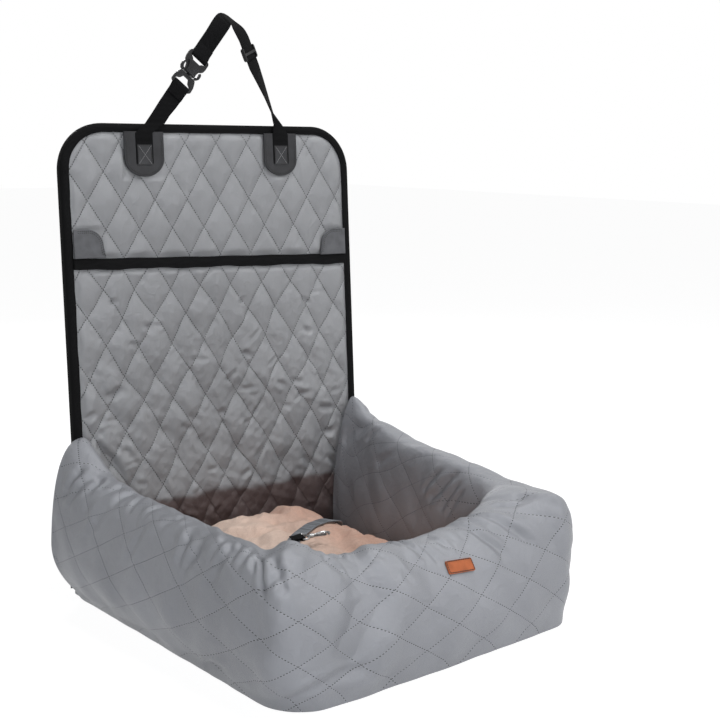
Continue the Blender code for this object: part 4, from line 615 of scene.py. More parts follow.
def wall_sections(t, count=121):
    """The wall's outline at each station t as even steps of its own length, and those lengths."""
    outer = rounded_path(foot_path(*WALL_OUTER), t)
    inner = rounded_path(foot_path(*WALL_INNER), t)
    width = np.linalg.norm(outer - inner, axis=1)
    outward = (outer - inner) / width[:, None]
    middle, half = (outer + inner) / 2, width / 2
    # How much of each station is arm, arm's tip, right front corner and left arm's end
    arm = eased(((ARM, 1), (ARM + CORNER, 0), (LAST - ARM - CORNER, 0), (LAST - ARM, 1)), t)
    tip = np.maximum(1 - ease(t / 2.5), 1 - ease((LAST - t) / 2.5))
    boxy = 1 - ease(np.abs(t - LAST_CORNER) / (CORNER * 0.9))
    left_end = 1 - ease(t / 6.0)
    crest = eased(((0, 0.251), (1.6, 0.1973), (3.0, 0.190), (ARM, 0.190), (FIRST_CORNER, 0.200),
                   (ARM + CORNER + 3.2, 0.166), (ARM + CORNER + 5.5, 0.166), (LAST_CORNER, 0.193),
                   (LAST - ARM, 0.193), (LAST - 3.5, 0.212), (LAST - 1.2, 0.232), (LAST, 0.262)), t)
    full = crest - WALL_FOOT
    # How far it bulges out and in, leans out at its crest, how square it is, and where it is widest
    out = mix(mix(0.017, np.where(t < LAST / 2, 0.044, 0.036), arm), 0.012, boxy) + 0.0045 * left_end
    into = mix(0.010, 0.007, arm)
    shift = mix(mix(-0.017, 0.006, arm), 0.016, tip)
    power = mix(mix(mix(2.2, 2.7, arm), 5.6, boxy), np.where(t < LAST / 2, 2.1, 1.8), tip)
    widest = mix(mix(0.50, 0.55, arm), 0.72, boxy) - 0.17 * left_end
    lean = math.tan(PANEL_LEAN) * np.maximum(np.maximum(1 - t / ARM, 1 - (LAST - t) / ARM), 0)
    turn = np.pi * np.linspace(0, 1, 161)
    c, s = np.cos(turn)[None], np.maximum(np.sin(turn), 0)[None]
    s[:, 0] = s[:, -1] = 0
    up = full[:, None] * s ** (2 / power[:, None])
    side = np.where(c >= 0, 1.0, -1.0)
    bulge = np.where(c >= 0, out[:, None], into[:, None])
    swell = bulge * (1 - np.maximum(0, 1 - up / (widest * full)[:, None]) ** 2)
    across = side * (half[:, None] + swell) * np.abs(c) ** (2 / power[:, None])
    across = across + shift[:, None] * (up / full[:, None]) ** 2
    x = middle[:, :1] + outward[:, :1] * across
    y = middle[:, 1:] + outward[:, 1:] * across + lean[:, None] * (WALL_FOOT + up)
    places = np.stack([x, y, WALL_FOOT + up], -1)
    steps = np.linalg.norm(np.diff(places, axis=1), axis=2)
    even = np.zeros((len(t), count, 3))
    for k in range(len(t)):
        run = np.concatenate([[0], np.cumsum(steps[k])])
        wanted = np.linspace(0, run[-1], count)
        for axis in range(3):
            even[k, :, axis] = np.interp(wanted, run, places[k, :, axis])
    return even, steps.sum(1)


def wall_seams(u, v):
    """Numbers of the two families of stitched lines at a place on the wall's cloth."""
    first = table(((0, 0.12), (.083, 1), (.173, 2), (.273, 3), (.380, 4), (.547, 5), (.622, 6), (.697, 7),
                   (.803, 8), (.900, 9), (1.002, 10), (1.103, 11), (1.70, 17)), u)
    rise = eased(((0.30, 10.5), (0.50, 18.0), (0.75, 16.2), (1.70, 14.0)), u)
    p = first + (v - 0.1) * rise
    second = table(((0, 0.40), (.07, 1), (.184, 2), (.303, 3), (.418, 4), (.525, 5), (.70, 6), (.827, 7),
                    (.943, 8), (1.037, 9), (1.15, 10), (1.70, 15.4)), u)
    fall = eased(((0.05, 19.8), (0.30, 18.2), (0.50, 15.8), (0.65, 18.5), (0.80, 17.5), (0.95, 14.3),
                  (1.10, 13.0), (1.30, 19.0)), u)
    q = -second + (v - 0.1) * fall
    return p, q, np.hypot(9.8, rise), np.hypot(9.3, fall)


# Folds seen on the wall's cloth: path in metres along the wall and up over it, depth, width
WALL_FOLDS = (
    (((.200, .190), (.195, .230), (.185, .262)), .0022, .0060),
    (((.240, .187), (.257, .223), (.267, .250)), .0026, .0060),
    (((.287, .190), (.320, .217), (.335, .240)), .0026, .0060),
    (((.345, .142), (.360, .187), (.372, .215)), .0040, .0075),
    (((.353, .138), (.383, .170), (.402, .200)), .0034, .0065),
    (((.417, .165), (.443, .203), (.455, .232)), .0034, .0065),
    (((.430, .160), (.457, .190), (.475, .218)), .0028, .0060),
    (((.467, .180), (.483, .207), (.495, .235)), .0030, .0060),
    (((.484, .178), (.507, .207), (.527, .238)), .0034, .0065),
    (((.520, .180), (.523, .205), (.535, .225)), .0040, .0060),
    (((.536, .225), (.541, .170), (.552, .150)), .0048, .0065),
    (((.563, .225), (.567, .187), (.540, .160)), .0042, .0065),
    (((.020, .180), (.037, .190), (.048, .222), (.052, .245)), .0040, .0070),
    (((.043, .170), (.060, .200), (.080, .240)), .0032, .0065),
    (((.080, .240), (.090, .222), (.087, .200)), .0036, .0055),
    (((.110, .195), (.125, .215), (.135, .250)), .0020, .0060),
    (((.150, .192), (.160, .222), (.165, .255)), .0020, .0065),
    (((.693, .225), (.700, .180), (.717, .147), (.733, .115)), .0062, .0080),
    (((.645, .215), (.663, .183), (.680, .175), (.684, .150)), .0040, .0065),
    (((.574, .200), (.572, .180), (.578, .153)), .0034, .0060),
    (((.742, .200), (.773, .157), (.800, .117)), .0024, .0070),
    (((.822, .222), (.833, .180), (.850, .147)), .0036, .0065),
    (((.845, .190), (.860, .157), (.864, .137)), .0030, .0055),
    (((.800, .220), (.810, .197), (.820, .187)), .0026, .0055),
    (((.885, .205), (.890, .180), (.897, .160)), .0024, .0055),
    (((.957, .215), (.970, .170), (.985, .145), (.998, .118)), .0042, .0075),
    (((1.000, .235), (1.017, .200), (1.027, .173), (1.045, .140), (1.052, .120)), .0046, .0080),
    (((.975, .225), (.990, .195), (1.006, .180)), .0034, .0070),
    (((1.100, .240), (1.107, .200), (1.115, .180), (1.130, .165)), .0030, .0095),
    (((1.060, .235), (1.075, .215), (1.095, .205)), .0030, .0065),
    (((1.257, .350), (1.243, .323), (1.227, .293)), .0026, .0065),
    (((1.280, .347), (1.260, .313), (1.247, .280)), .0030, .0065),
    (((1.320, .340), (1.293, .313), (1.277, .280), (1.280, .263)), .0044, .0080),
    (((1.340, .330), (1.322, .300), (1.312, .272)), .0028, .0060),
    (((1.647, .357), (1.613, .293), (1.593, .280), (1.550, .267)), .0026, .0095),
    (((1.500, .320), (1.475, .295), (1.450, .273)), .0022, .0070),
    (((1.560, .300), (1.545, .280), (1.527, .262)), .0026, .0065),
    (((1.610, .262), (1.625, .235), (1.640, .215)), .0014, .0080),
    (((.690, .222), (.712, .170), (.722, .123), (.668, .058), (.629, .025)), .0130, .0300),
    (((.560, .004), (.577, .015), (.602, .027), (.642, .038), (.695, .040), (.730, .030)), .0030, .0075),
    (((.395, .004), (.425, .022), (.470, .030)), .0030, .0080),
)


def wall_relief(u, v, length):
    """How far the wall's cloth stands off its plain shape."""
    p, q, p_rate, q_rate = wall_seams(u, v)
    to_p, to_q = np.abs(p - np.round(p)) / p_rate, np.abs(q - np.round(q)) / q_rate
    near = np.minimum(to_p, to_q)
    crest = np.clip(1 - np.abs(v / length - 0.5) / 0.28, 0, 1)
    # The quilting, slow swells, crumples, and the drag over the crest, all half as strong on the right arm
    relief = 0.0010 * np.minimum(near / 0.014, 1.0) ** 0.7 - 0.0008
    relief += 0.0010 * ripple(u, v, 0.060, 3) + 0.0024 * ripple(u, v, 0.110, 4)
    relief += 0.0003 * (0.3 + crest) * ripple(u, v, 0.024, 5)
    slant = u - 0.55 * (v - 0.2) * np.sign(0.23 - v)
    relief += 0.0006 * crest * ripple(slant, v * 0.15, 0.040, 6)
    relief *= 1 - 0.5 * ease((u - 1.14) / 0.04)
    # Small random creases: thirteen on its outer side, the rest on its inner side
    rng = np.random.RandomState(11)
    for k in range(20):
        centre = rng.uniform(0.05, 1.15)
        height = rng.uniform(0.17, 0.25) if k < 13 else rng.uniform(0.26, 0.40)
        lean, long = rng.uniform(0.2, 0.9) * (1 if height < 0.23 else -1), rng.uniform(0.06, 0.12)
        path = [(centre - lean * long / 2, height - long / 2), (centre + rng.uniform(-.006, .006), height),
                (centre + lean * long / 2, height + long / 2)]
        relief += crease(u, v, path, rng.uniform(0.0010, 0.0022), rng.uniform(0.0060, 0.0110))
    for path, depth, width in WALL_FOLDS:
        relief += crease(u, v, path, depth * 1.05, width)
    # The cloth is held down at its two feet and behind the label
    seated = (0.3 + 0.7 * ease(v / 0.020)) * ease((length - v) / 0.020)
    tag = np.exp(-(((u - LABEL_AT[0]) / 0.040) ** 2 + ((v - LABEL_AT[1]) / 0.022) ** 2) ** 2)
    return np.clip(relief * seated * (1 - tag), -0.0085, 0.0060)


def bed_wall():
    """The stuffed wall as one closed form: its quilted skin, its foot and its two ends."""
    piece, a, b = grid("bed_wall", 620, 156)
    across, up = np.unique(np.round(a, 7)), np.unique(np.round(b, 7))
    stations = np.linspace(0, LAST, 1200)
    line = wall_sections(stations)[0][:, 20]  # low on its outer side, where its length is measured
    run = np.concatenate([[0], np.cumsum(np.linalg.norm(np.diff(line, axis=0), axis=1))])
    even, lengths = wall_sections(np.interp(across * run[-1], run, stations), len(up))
    u = np.repeat((across * run[-1])[:, None], len(up), 1)
    v = up[None] * lengths[:, None]
    relief = wall_relief(u, v, lengths[:, None] * np.ones_like(u))
    ends = ease(np.minimum(u, run[-1] - u) / 0.012)
    normal = np.cross(np.gradient(even, axis=0), np.gradient(even, axis=1))
    normal /= np.linalg.norm(normal, axis=2)[..., None]
    if (normal[:, len(up) // 2, 2] < 0).mean() > 0.5:
        normal = -normal
    even = even + normal * (relief * ends)[..., None]
    even[..., 2] = np.maximum(even[..., 2], WALL_FOOT) - HEM_DROP * (1 - ease(v / 0.014))
    i, j = np.searchsorted(across, np.round(a, 7)), np.searchsorted(up, np.round(b, 7))
    lay(piece, even[i, j])
    p, q, _, _ = wall_seams(u, v)
    set_uv(piece, p[i, j], q[i, j])
    last, top = len(across) - 1, len(up) - 1
    with opened(piece) as shape:
        shape.verts.ensure_lookup_table()
        at = {(int(x), int(y)): shape.verts[k] for k, (x, y) in enumerate(zip(i, j))}
        for k in range(last):
            shape.faces.new((at[k, 0], at[k + 1, 0], at[k + 1, top], at[k, top]))
        for k in (0, last):
            shape.faces.new([at[k, y] for y in range(top + 1)])
        bmesh.ops.recalc_face_normals(shape, faces=shape.faces)
    clear_seams(piece)
    smooth(piece, 60)
    dress(piece, finishes["bolster"], "bed",
          ("bolster_cover", "fill_left", "fill_front", "fill_right", "end_gusset_left", "end_gusset_right"))


def bed_base():
    """The bed's bottom sheet: the wall's cloth carried round its rim, rolled under at the floor."""
    line = rounded_path(foot_path(*WALL_OUTER), np.linspace(0, LAST, 260))
    half = WALL_OUTER[0]
    rear = [(x, BASE_REAR) for x in np.linspace(half, -half, 40)]
    outline = np.array([*map(tuple, line), (half, BASE_REAR - 0.010), *rear, (-half, BASE_REAR - 0.010)])
    inward = outline.mean(0) - outline
    inward /= np.linalg.norm(inward, axis=1)[:, None]
    rings = []
    for inset, z in ((0.0090, 0.0), (0.0072, 0.0002), (0.0061, 0.0010), (0.0056, 0.0022), (0.0056, 0.0058),
                     (0.0068, 0.0061)):
        rings.append([(x, y, z) for x, y in outline + inward * inset])
    piece = sweep("bed_base", rings)
    smooth(piece, 50)
    dress(piece, finishes["base"], "bed", ("base_panel",))


# Back panel

def diamonds(x, s, start_x, start_s):
    across, up = (x - start_x) / CELL_WIDTH, (s - start_s) / CELL_HEIGHT
    return across + up, across - up


# Pinched creases seen on the pocket's cloth: path across and up the panel, depth, width
POCKET_FOLDS = (
    (((.160, .390), (.173, .383), (.183, .387)), .0030, .0045),
    (((.037, .360), (.050, .352), (.063, .353)), .0030, .0045),
    (((.133, .300), (.160, .297)), .0028, .0045),
    (((.147, .277), (.173, .277)), .0034, .0050),
    (((.187, .252), (.200, .247), (.223, .245)), .0042, .0055),
    (((.200, .205), (.223, .205)), .0042, .0055),
    (((-.013, .263), (.007, .260)), .0034, .0060),
    (((-.060, .355), (-.023, .350)), .0020, .0045),
    (((-.170, .390), (-.153, .382)), .0024, .0040),
    (((-.255, .277), (-.233, .285)), .0034, .0050),
    (((-.217, .307), (-.180, .317)), .0030, .0065),
    (((.043, .243), (.037, .233)), .0026, .0040),
    (((.073, .197), (.057, .173)), .0026, .0050),
    (((.047, .160), (.023, .147)), .0030, .0045),
    (((.103, .303), (.123, .293)), .0026, .0050),
    (((.230, .140), (.205, .165)), .0040, .0060),
    (((.150, .170), (.175, .150)), .0030, .0050),
    (((-.150, .420), (-.120, .400)), .0018, .0050),
    (((-.190, .225), (-.170, .200)), .0030, .0060),
    (((-.240, .240), (-.215, .215), (-.200, .190)), .0040, .0060),
    (((-.085, .250), (-.060, .235)), .0020, .0050),
)


def quilt_relief(x, s, p, q, seed, loose):
    """The puffed diamonds, puckered along their seams, and the cloth's looseness."""
    a, b = np.abs(np.sin(np.pi * p)), np.abs(np.sin(np.pi * q))
    cell = ripple(np.floor(p) * 3.1, np.floor(q) * 3.7, 2.6, seed + 1)
    puff = (a * b) ** 0.40 * (0.0058 + 0.0008 * cell)
    slope = ripple(np.floor(p) * 5.3, np.floor(q) * 4.1, 3.3, seed + 2)
    tilt = (a * b) * 0.0016 * np.sin(np.pi * (p - np.floor(p))) * slope
    rate = 18.6  # seams to a metre, square to them
    to_p, to_q = np.abs(p - np.round(p)) / rate, np.abs(q - np.round(q)) / rate
    pucker = 0.0
    for away, along_it, shift in ((to_p, q, 0.0), (to_q, p, 2.0)):
        beat = np.sin(2 * np.pi * (along_it * 4.3 + 0.55 * ripple(x, s, 0.05, seed + 3 + int(shift))) + shift)
        pucker = pucker + beat * np.exp(-away / 0.010) * np.minimum(away / 0.0025, 1.0)
    relief = puff + tilt + 0.00055 * pucker * (0.6 + 0.6 * loose)
    relief = relief + 0.0007 * (0.5 + loose) * ripple(x, s, 0.030, seed + 6)
    return relief + 0.0004 * (0.5 + loose) * ripple(x, s, 0.014, seed + 7)


def pressed(x, s):
    """1 on the open face of the panel, 0 where a patch or a tab holds the quilting down."""
    free = np.ones(x.shape)
    reach = PANEL_HALF - TAPE_WIDTH - TAB_WIDTH
    over_band = np.maximum(band_middle(x) - s, s - band_middle(x) - BAND_HALF - TAB_HEIGHT - 0.0005)
    for side in (-1, 1):
        over_patch = np.maximum(np.abs(x - side * PATCH_X) - 0.035, PATCH_FOOT - s)
        over_tab = np.maximum(reach - side * x, over_band)
        free = np.minimum(free, np.minimum(ease(over_patch / 0.006), ease(over_tab / 0.006)))
    return free


def panel_sheet(name, low, high, columns, rows, front, relief_at):
    """A closed quilted sheet between two heights of the panel, puffed in front and flat behind."""
    piece, a, b = grid(name, columns, rows)
    share = a * 2 - 1
    s = mix(low(share * PANEL_HALF), high(share * PANEL_HALF), b)
    half = panel_half(s, UNDER_TAPE)
    x = share * half
    s = mix(low(x), high(x), b)
    x = share * panel_half(s, UNDER_TAPE)
    edge = np.minimum(half - np.abs(x), np.minimum(s - low(x), high(x) - s))
    free = ease((PANEL_HALF - TAPE_WIDTH - np.abs(x)) / 0.010)
    for clear in (np.abs(s - band_middle(x)) - 0.0088, PANEL_TOP - TAPE_WIDTH - s,
                 panel_half(s, TAPE_WIDTH) - np.abs(x)):
        free = np.minimum(free, ease(clear / 0.010))
    relief, p, q = relief_at(x, s)
    relief = relief * free * ease(edge / 0.004)
    lay(piece, on_panel(x, s, front + relief * (0.45 + 0.55 * pressed(x, s))))
    set_uv(piece, p, q)
    drop = Vector(on_panel(0.0, 0.0, QUILT_BACK - front) - on_panel(0.0, 0.0, 0.0))
    with opened(piece) as shape:
        made = bmesh.ops.extrude_edge_only(shape, edges=[e for e in shape.edges if e.is_boundary])
        for vert in (v for v in made["geom"] if isinstance(v, bmesh.types.BMVert)):
            vert.co += drop
        bmesh.ops.contextual_create(shape, geom=[e for e in shape.edges if e.is_boundary])
        bmesh.ops.recalc_face_normals(shape, faces=shape.faces)
    clear_seams(piece)
    smooth(piece, 70)
    return piece


def upper_quilt():
    def relief(x, s):
        p, q = diamonds(x, s, 0.0060, 0.6117)
        return quilt_relief(x, s, p, q, 21, 0.15), p, q
    piece = panel_sheet("upper_quilt", lambda x: band_middle(x) - 0.002, lambda x: 0 * x + PANEL_TOP - UNDER_TAPE,
                        150, 64, POCKET_FRONT - 0.0003, relief)
    dress(piece, finishes["panel"], "upper_back", ("quilt_upper",))


def pocket_relief(x, s):
    """The pocket's quilting, drawn out of true, with its pinched creases and small random ones."""
    warp = 0.0035
    p, q = diamonds(x + warp * ripple(x, s, 0.11, 51), s + warp * ripple(x, s, 0.13, 52), -0.0047, 0.4280)
    loose = ease((0.50 - s) / 0.20)
    made = quilt_relief(x, s, p, q, 31, loose) + 0.0016 * loose * ripple(x, s, 0.075, 38)
    for path, depth, width in POCKET_FOLDS:
        made = made + crease(x, s, path, depth, width)
    rng = np.random.RandomState(5)
    for _ in range(34):
        middle = np.array((rng.uniform(-0.22, 0.23), rng.uniform(0.03, 0.47)))
        turn, long = rng.uniform(-0.5, 0.9), rng.uniform(0.016, 0.034)
        step = np.array((math.cos(turn), math.sin(turn))) * long / 2
        made = made + crease(x, s, (middle - step, middle + step), rng.uniform(0.0010, 0.0024),
                             rng.uniform(0.003, 0.005))
    return np.clip(made, -0.0016, 0.0085) * ease((s - 0.02) / 0.03), p, q


def pocket_cloth():
    piece = panel_sheet("pocket_cloth", lambda x: 0 * x + PANEL_FOOT, lambda x: band_middle(x) - 0.0005,
                        176, 176, POCKET_FRONT, pocket_relief)
    dress(piece, finishes["pocket"], None, ("pocket_lower", "pocket_upper", "quilt_lower"))
    across_fold(piece)


def across_fold(piece):
    low, high = on_panel(-PANEL_X, FOLD - 0.011, -0.004), on_panel(-PANEL_X, FOLD + 0.011, -0.004)
    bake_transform(piece)


def back_lining():
    piece, a, b = grid("back_lining", 40, 150)
    s = mix(PANEL_FOOT, PANEL_TOP - UNDER_TAPE, b)
    x = (a * 2 - 1) * panel_half(s, UNDER_TAPE)
    sag = 0.0004 * ripple(x, s, 0.16, 71) * ease((panel_half(s, 0.02) - np.abs(x)) / 0.02)
    lay(piece, on_panel(x, s, LINING_BACK + 0.0004 + np.maximum(sag, -0.0003)))
    face_out(piece)
    if np.mean([polygon.normal.y for polygon in piece.data.polygons]) < 0:
        piece.data.flip_normals()
    modify(piece, "SOLIDIFY", thickness=0.0014, offset=-1.0)
    smooth(piece, 60)
    dress(piece, finishes["lining"], None, ("lining_lower", "lining_upper"))
    across_fold(piece)


def panel_edge(step):
    """Places round the panel's edge from its left foot to its right foot, with the way in from each."""
    left, top, radius = PANEL_HALF, PANEL_TOP, PANEL_RADIUS
    bend = max(int(radius * math.pi / 2 / step), 6)

    def corner(x, start):
        turns = [math.radians(start - 90 * k / bend) for k in range(bend + 1)]
        return [(x + radius * math.cos(turn), top - radius + radius * math.sin(turn), -math.cos(turn),
                 -math.sin(turn)) for turn in turns]
    rows = [(-left, s, 1.0, 0.0) for s in np.arange(PANEL_FOOT, top - radius, step)]
    rows += corner(-left + radius, 180)
    rows += [(x, top, 0.0, -1.0) for x in np.arange(-left + radius + step, left - radius - step / 2, step)]
    rows += corner(left - radius, 90)
    rows += [(left, s, -1.0, 0.0) for s in np.arange(top - radius - step, PANEL_FOOT - 1e-6, -step)]
    return rows


def edge_binding():
    """The black tape folded over the panel's edge: crowned faces, rolled edge and sunk stitching."""
    front, back, wide, step = TAPE_FRONT + 0.0012, TAPE_BACK, TAPE_WIDTH, 0.006
    section = [(wide, front - 0.0024), (wide + 0.0003, front - 0.0012), (wide - 0.0006, front - 0.0002),
               (wide - 0.0022, front - 0.0007), (wide - 0.0040, front), (0.0080, front + 0.0004),
               (0.0040, front + 0.0001), (0.0014, front - 0.0012), (0.0002, front - 0.0038),
               (0.0, (front + back) / 2), (0.0002, back + 0.0038), (0.0014, back + 0.0012),
               (0.0040, back + 0.0002), (wide - 0.0022, back + 0.0003), (wide, back + 0.0006),
               (wide, back + 0.0014), (0.0040, back + 0.0016), (0.0016, back + 0.0034),
               (0.0014, (front + back) / 2), (0.0016, front - 0.0046), (0.0040, front - 0.0024)]
    rings = []
    for k, (x, s, in_x, in_s) in enumerate(panel_edge(step)):
        wave = 0.0004 * math.sin(k * step * 61) + 0.0003 * math.sin(k * step * 143 + 1)
        rings.append([on_panel(x + in_x * m * (1 + wave * 30), s + in_s * m * (1 + wave * 30),
                               n + (wave * 0.8 if n > -0.006 and m > 0.003 else 0)) for m, n in section])
    piece = sweep("edge_binding", rings)
    smooth(piece, 50)
    dress(piece, finishes["binding"], None,
          ("binding_lower_left", "binding_lower_right", "binding_upper"))
    across_fold(piece)


def pocket_band():
    """The tape over the pocket's mouth, a little wavy where the cloth draws it in."""
    half, behind, back = PANEL_HALF - TAPE_WIDTH - 0.0003, -0.0034, -0.0076
    rings = []
    for x in np.linspace(-half, half, 150):
        low = -BAND_HALF + 0.0008 * math.sin(x * 47 + 1.0) + 0.0005 * math.sin(x * 109)
        high = BAND_HALF + 0.0003 * math.sin(x * 71)
        front = 0.0003 * math.sin(x * 88 + 0.4)
        section = ((low, behind), (low - 0.0002, front - 0.0010), (low + 0.0008, front),
                   (low + 0.0025, front - 0.0003), (low + 0.0050, front + 0.0002),
                   (high - 0.0045, front + 0.0002), (high - 0.0022, front - 0.0003), (high - 0.0008, front),
                   (high, front - 0.0010), (high, back), (high - 0.0020, back), (high - 0.0022, behind))
        rings.append([on_panel(x, band_middle(x) + s, n) for s, n in section])
    piece = sweep("mouth_band", rings)
    smooth(piece, 50)
    dress(piece, finishes["binding"], "upper_back", ("pocket_band",))


# Stitches, plates and webbing

def stitch_row(name, points, normals, length, gap, radius, material, body):
    """A row of thread stitches lying along a line of points."""
    points, normals = np.asarray(points, float), np.asarray(normals, float)
    steps = np.linalg.norm(np.diff(points, axis=0), axis=1)
    run = np.concatenate([[0], np.cumsum(steps)])
    count = max(int(run[-1] / (length + gap)), 1)
    verts, faces = [], []
    for k in range(count):
        begin = (k + 0.5) * run[-1] / count - length / 2
        ends = []
        for away in (begin, begin + length * 0.2, begin + length * 0.8, begin + length):
            ends.append(np.array([np.interp(away, run, points[:, axis]) for axis in range(3)]))
        up = np.array([np.interp(begin, run, normals[:, axis]) for axis in range(3)])
        ahead = (ends[-1] - ends[0]) / np.linalg.norm(ends[-1] - ends[0])
        side = np.cross(ahead, up)
        side /= np.linalg.norm(side)
        start = len(verts)
        for end, size, lift in zip(ends, (0.35, 1.0, 1.0, 0.35), (-0.6, 0.3, 0.3, -0.6)):
            for dx, dz in ((1, 0), (0, 0.8), (-1, 0), (0, -0.8)):
                verts.append(end + side * dx * radius * size + up * radius * (dz * size + lift))
        for r in range(3):
            a, b = start + r * 4, start + r * 4 + 4
            faces += [(a + i, a + (i + 1) % 4, b + (i + 1) % 4, b + i) for i in range(4)]
        faces += [(start + 3, start + 2, start + 1, start), (start + 12, start + 13, start + 14, start + 15)]
    piece = mesh_piece(name, verts, faces)
    face_out(piece)
    smooth(piece, 60)
    dress(piece, material, body)
    return piece


def plate(name, outline, low, high, rim=0.0006, dome=0.0):
    """A flat sheet piece on the panel with a rolled rim and, if wanted, a domed face."""
    outline = np.array(outline, float)
    centre = outline.mean(0)
    rings = []
    for grow, n in ((0.0, low), (0.0, high - rim), (-rim * 0.4, high - rim * 0.3), (-rim * 1.2, high)):
        inward = centre - outline
        inward /= np.linalg.norm(inward, axis=1)[:, None]
        rings.append(on_panel(outline[:, 0] - inward[:, 0] * grow, outline[:, 1] - inward[:, 1] * grow,
                              np.full(len(outline), n)))
    for share in (0.92, 0.8, 0.6, 0.35, 0.12):
        spots = centre + (outline - centre) * share
        rise = dome * (1 - share ** 2)
        rings.append(on_panel(spots[:, 0], spots[:, 1], np.full(len(outline), high + rise)))
    piece = sweep(name, rings)
    smooth(piece, 40)
    return piece


def inset_line(outline, inset):
    """A line inside an outline at an even distance."""
    outline = np.array(outline, float)
    ahead = np.roll(outline, -1, 0) - np.roll(outline, 1, 0)
    inward = np.stack([-ahead[:, 1], ahead[:, 0]], 1)
    inward /= np.linalg.norm(inward, axis=1)[:, None]
    if np.mean(np.sum((outline.mean(0) - outline) * inward, 1)) < 0:
        inward = -inward
    return outline + inward * inset


def panel_stitches(name, line, height, length, gap, radius, thread=THREAD):
    """A row of stitches along a line of places (x, s) on the panel, at a height off it."""
    line = np.array(line, float)
    out = on_panel(0.0, 0.0, 1.0) - on_panel(0.0, 0.0, 0.0)
    stitch_row(name, on_panel(line[:, 0], line[:, 1], np.full(len(line), height)),
               np.repeat(out[None], len(line), 0), length, gap, radius, thread, "upper_back")


def corner_tabs():
    half = PANEL_HALF - TAPE_WIDTH - 0.0004
    for name, side in (("tab_left", -1), ("tab_right", 1)):
        outer, inner = side * half, side * (half - TAB_WIDTH)
        foot = band_middle(outer) + BAND_HALF
        head = foot + TAB_HEIGHT
        shoulder = head - TAB_RADIUS
        turns = [math.radians(a) for a in range(0, 91, 9)]
        corner = [(inner + side * TAB_RADIUS * (1 - math.cos(a)), shoulder + TAB_RADIUS * math.sin(a)) for a in turns]
        side_up = [(inner - side * 0.003 * (1 - t), mix(foot, shoulder, t)) for t in (0, 0.33, 0.66)]
        top = [(mix(corner[-1][0], outer, t), head) for t in (0.25, 0.5, 0.75)]
        outline = [(outer, foot), *side_up, *corner, *top, (outer, head)]
        piece = plate(name + "_sheet", outline, 0.0003, 0.0024, 0.0007, 0.0004)
        dress(piece, finishes["tab"], "upper_back", (name,))
        for row, inset in enumerate((0.0022, 0.0050)):
            panel_stitches(f"{name}_stitches_{row + 1}", inset_line(outline, inset)[1:-1], 0.0026,
                           0.0026, 0.0008, 0.00042)


def strap_patches():
    """The dark patches with their outline stitches, and the crossed box that sews each strap down."""
    quarters = (0, 0.25, 0.5, 0.75)
    for word, side, half in (("left", -1, 0.035), ("right", 1, 0.0325)):
        x, top, depth = side * PATCH_X, PANEL_TOP - TAPE_WIDTH + 0.001, half * 0.8
        turns = [math.radians(a) for a in range(180, 361, 9)]
        bowl = [(x + half * math.cos(a), PATCH_FOOT + depth + depth * math.sin(a)) for a in turns]
        sides = [(x - half, mix(top, PATCH_FOOT + depth, t)) for t in quarters]
        other = [(x + half, mix(PATCH_FOOT + depth, top, t)) for t in (0.25, 0.5, 0.75, 1)]
        outline = sides + bowl + other
        piece = plate("patch_" + word, outline, 0.0003, 0.0022, 0.0008, 0.0003)
        dress(piece, finishes["leather"], "upper_back", ("strap_patch_" + word,))
        panel_stitches(f"patch_{word}_stitches", inset_line(outline, 0.0040)[1:-1], 0.0024, 0.0030, 0.0003, 0.00075)

        low, high, wide = 0.6655, 0.6985, 0.0135
        box = [(x - wide, low), (x + wide, low), (x + wide, high), (x - wide, high)]
        pad = [(mix(ax, bx, t), mix(ay, by, t)) for (ax, ay), (bx, by) in zip(box, box[1:] + box[:1])
               for t in quarters]
        piece = plate("stitched_box_" + word, pad, 0.0018, 0.0036, 0.0010, 0.0002)
        dress(piece, finishes["boxed"], "upper_back")
        a, b, c, d = inner = [(x + m * (wide - 0.002), n) for m, n in (
            (-1, low + 0.002), (1, low + 0.002), (1, high - 0.002), (-1, high - 0.002))]
        for k, (line, radius, thread) in enumerate((([*inner, a], 0.0007, THREAD), ([a, c], 0.0006, GREY_THREAD),
                                                    ([d, b], 0.0006, GREY_THREAD))):
            panel_stitches(f"box_{word}_stitches_{k + 1}", line, 0.0039, 0.0030, 0.0003, radius, thread)


def ribbon(name, stations, thickness):
    """Flat webbing with rounded edges through (centre, width direction, width)."""
    centres = np.array([s[0] for s in stations], float)
    across = np.array([s[1] for s in stations], float)
    widths = np.array([s[2] for s in stations], float)
    fine_c = catmull(centres, 4)
    fine_a = catmull(across, 4)
    fine_w = np.interp(np.linspace(0, len(widths) - 1, len(fine_c)), np.arange(len(widths)), widths)
    rings = []
    for k in range(len(fine_c)):
        ahead = fine_c[min(k + 1, len(fine_c) - 1)] - fine_c[max(k - 1, 0)]
        ahead /= np.linalg.norm(ahead)
        side = fine_a[k] - ahead * np.dot(fine_a[k], ahead)
        side /= np.linalg.norm(side)
        out = np.cross(ahead, side)
        h, w = thickness / 2, fine_w[k] / 2
        section = ((-1, 0), (-0.985, -0.7), (-0.93, -1), (-0.5, -1), (0, -1), (0.5, -1), (0.93, -1), (0.985, -0.7),
                   (1, 0), (0.985, 0.7), (0.93, 1), (0.5, 1), (0, 1), (-0.5, 1), (-0.93, 1), (-0.985, 0.7))
        rings.append([fine_c[k] + side * a * w + out * b * h for a, b in section])
    piece = sweep(name, rings)
    smooth(piece, 60)
    return piece


def reach_root(piece):
    """Brings the webbing's foot down to the panel's top edge."""
    start = Vector(on_panel(0, 0, 0))
    up = (Vector(on_panel(0, 1, 0)) - start).normalized()
    for vert in piece.data.vertices:
        if (vert.co - start).dot(up) < PANEL_TOP + 0.0020:
            vert.co -= up * 0.0012


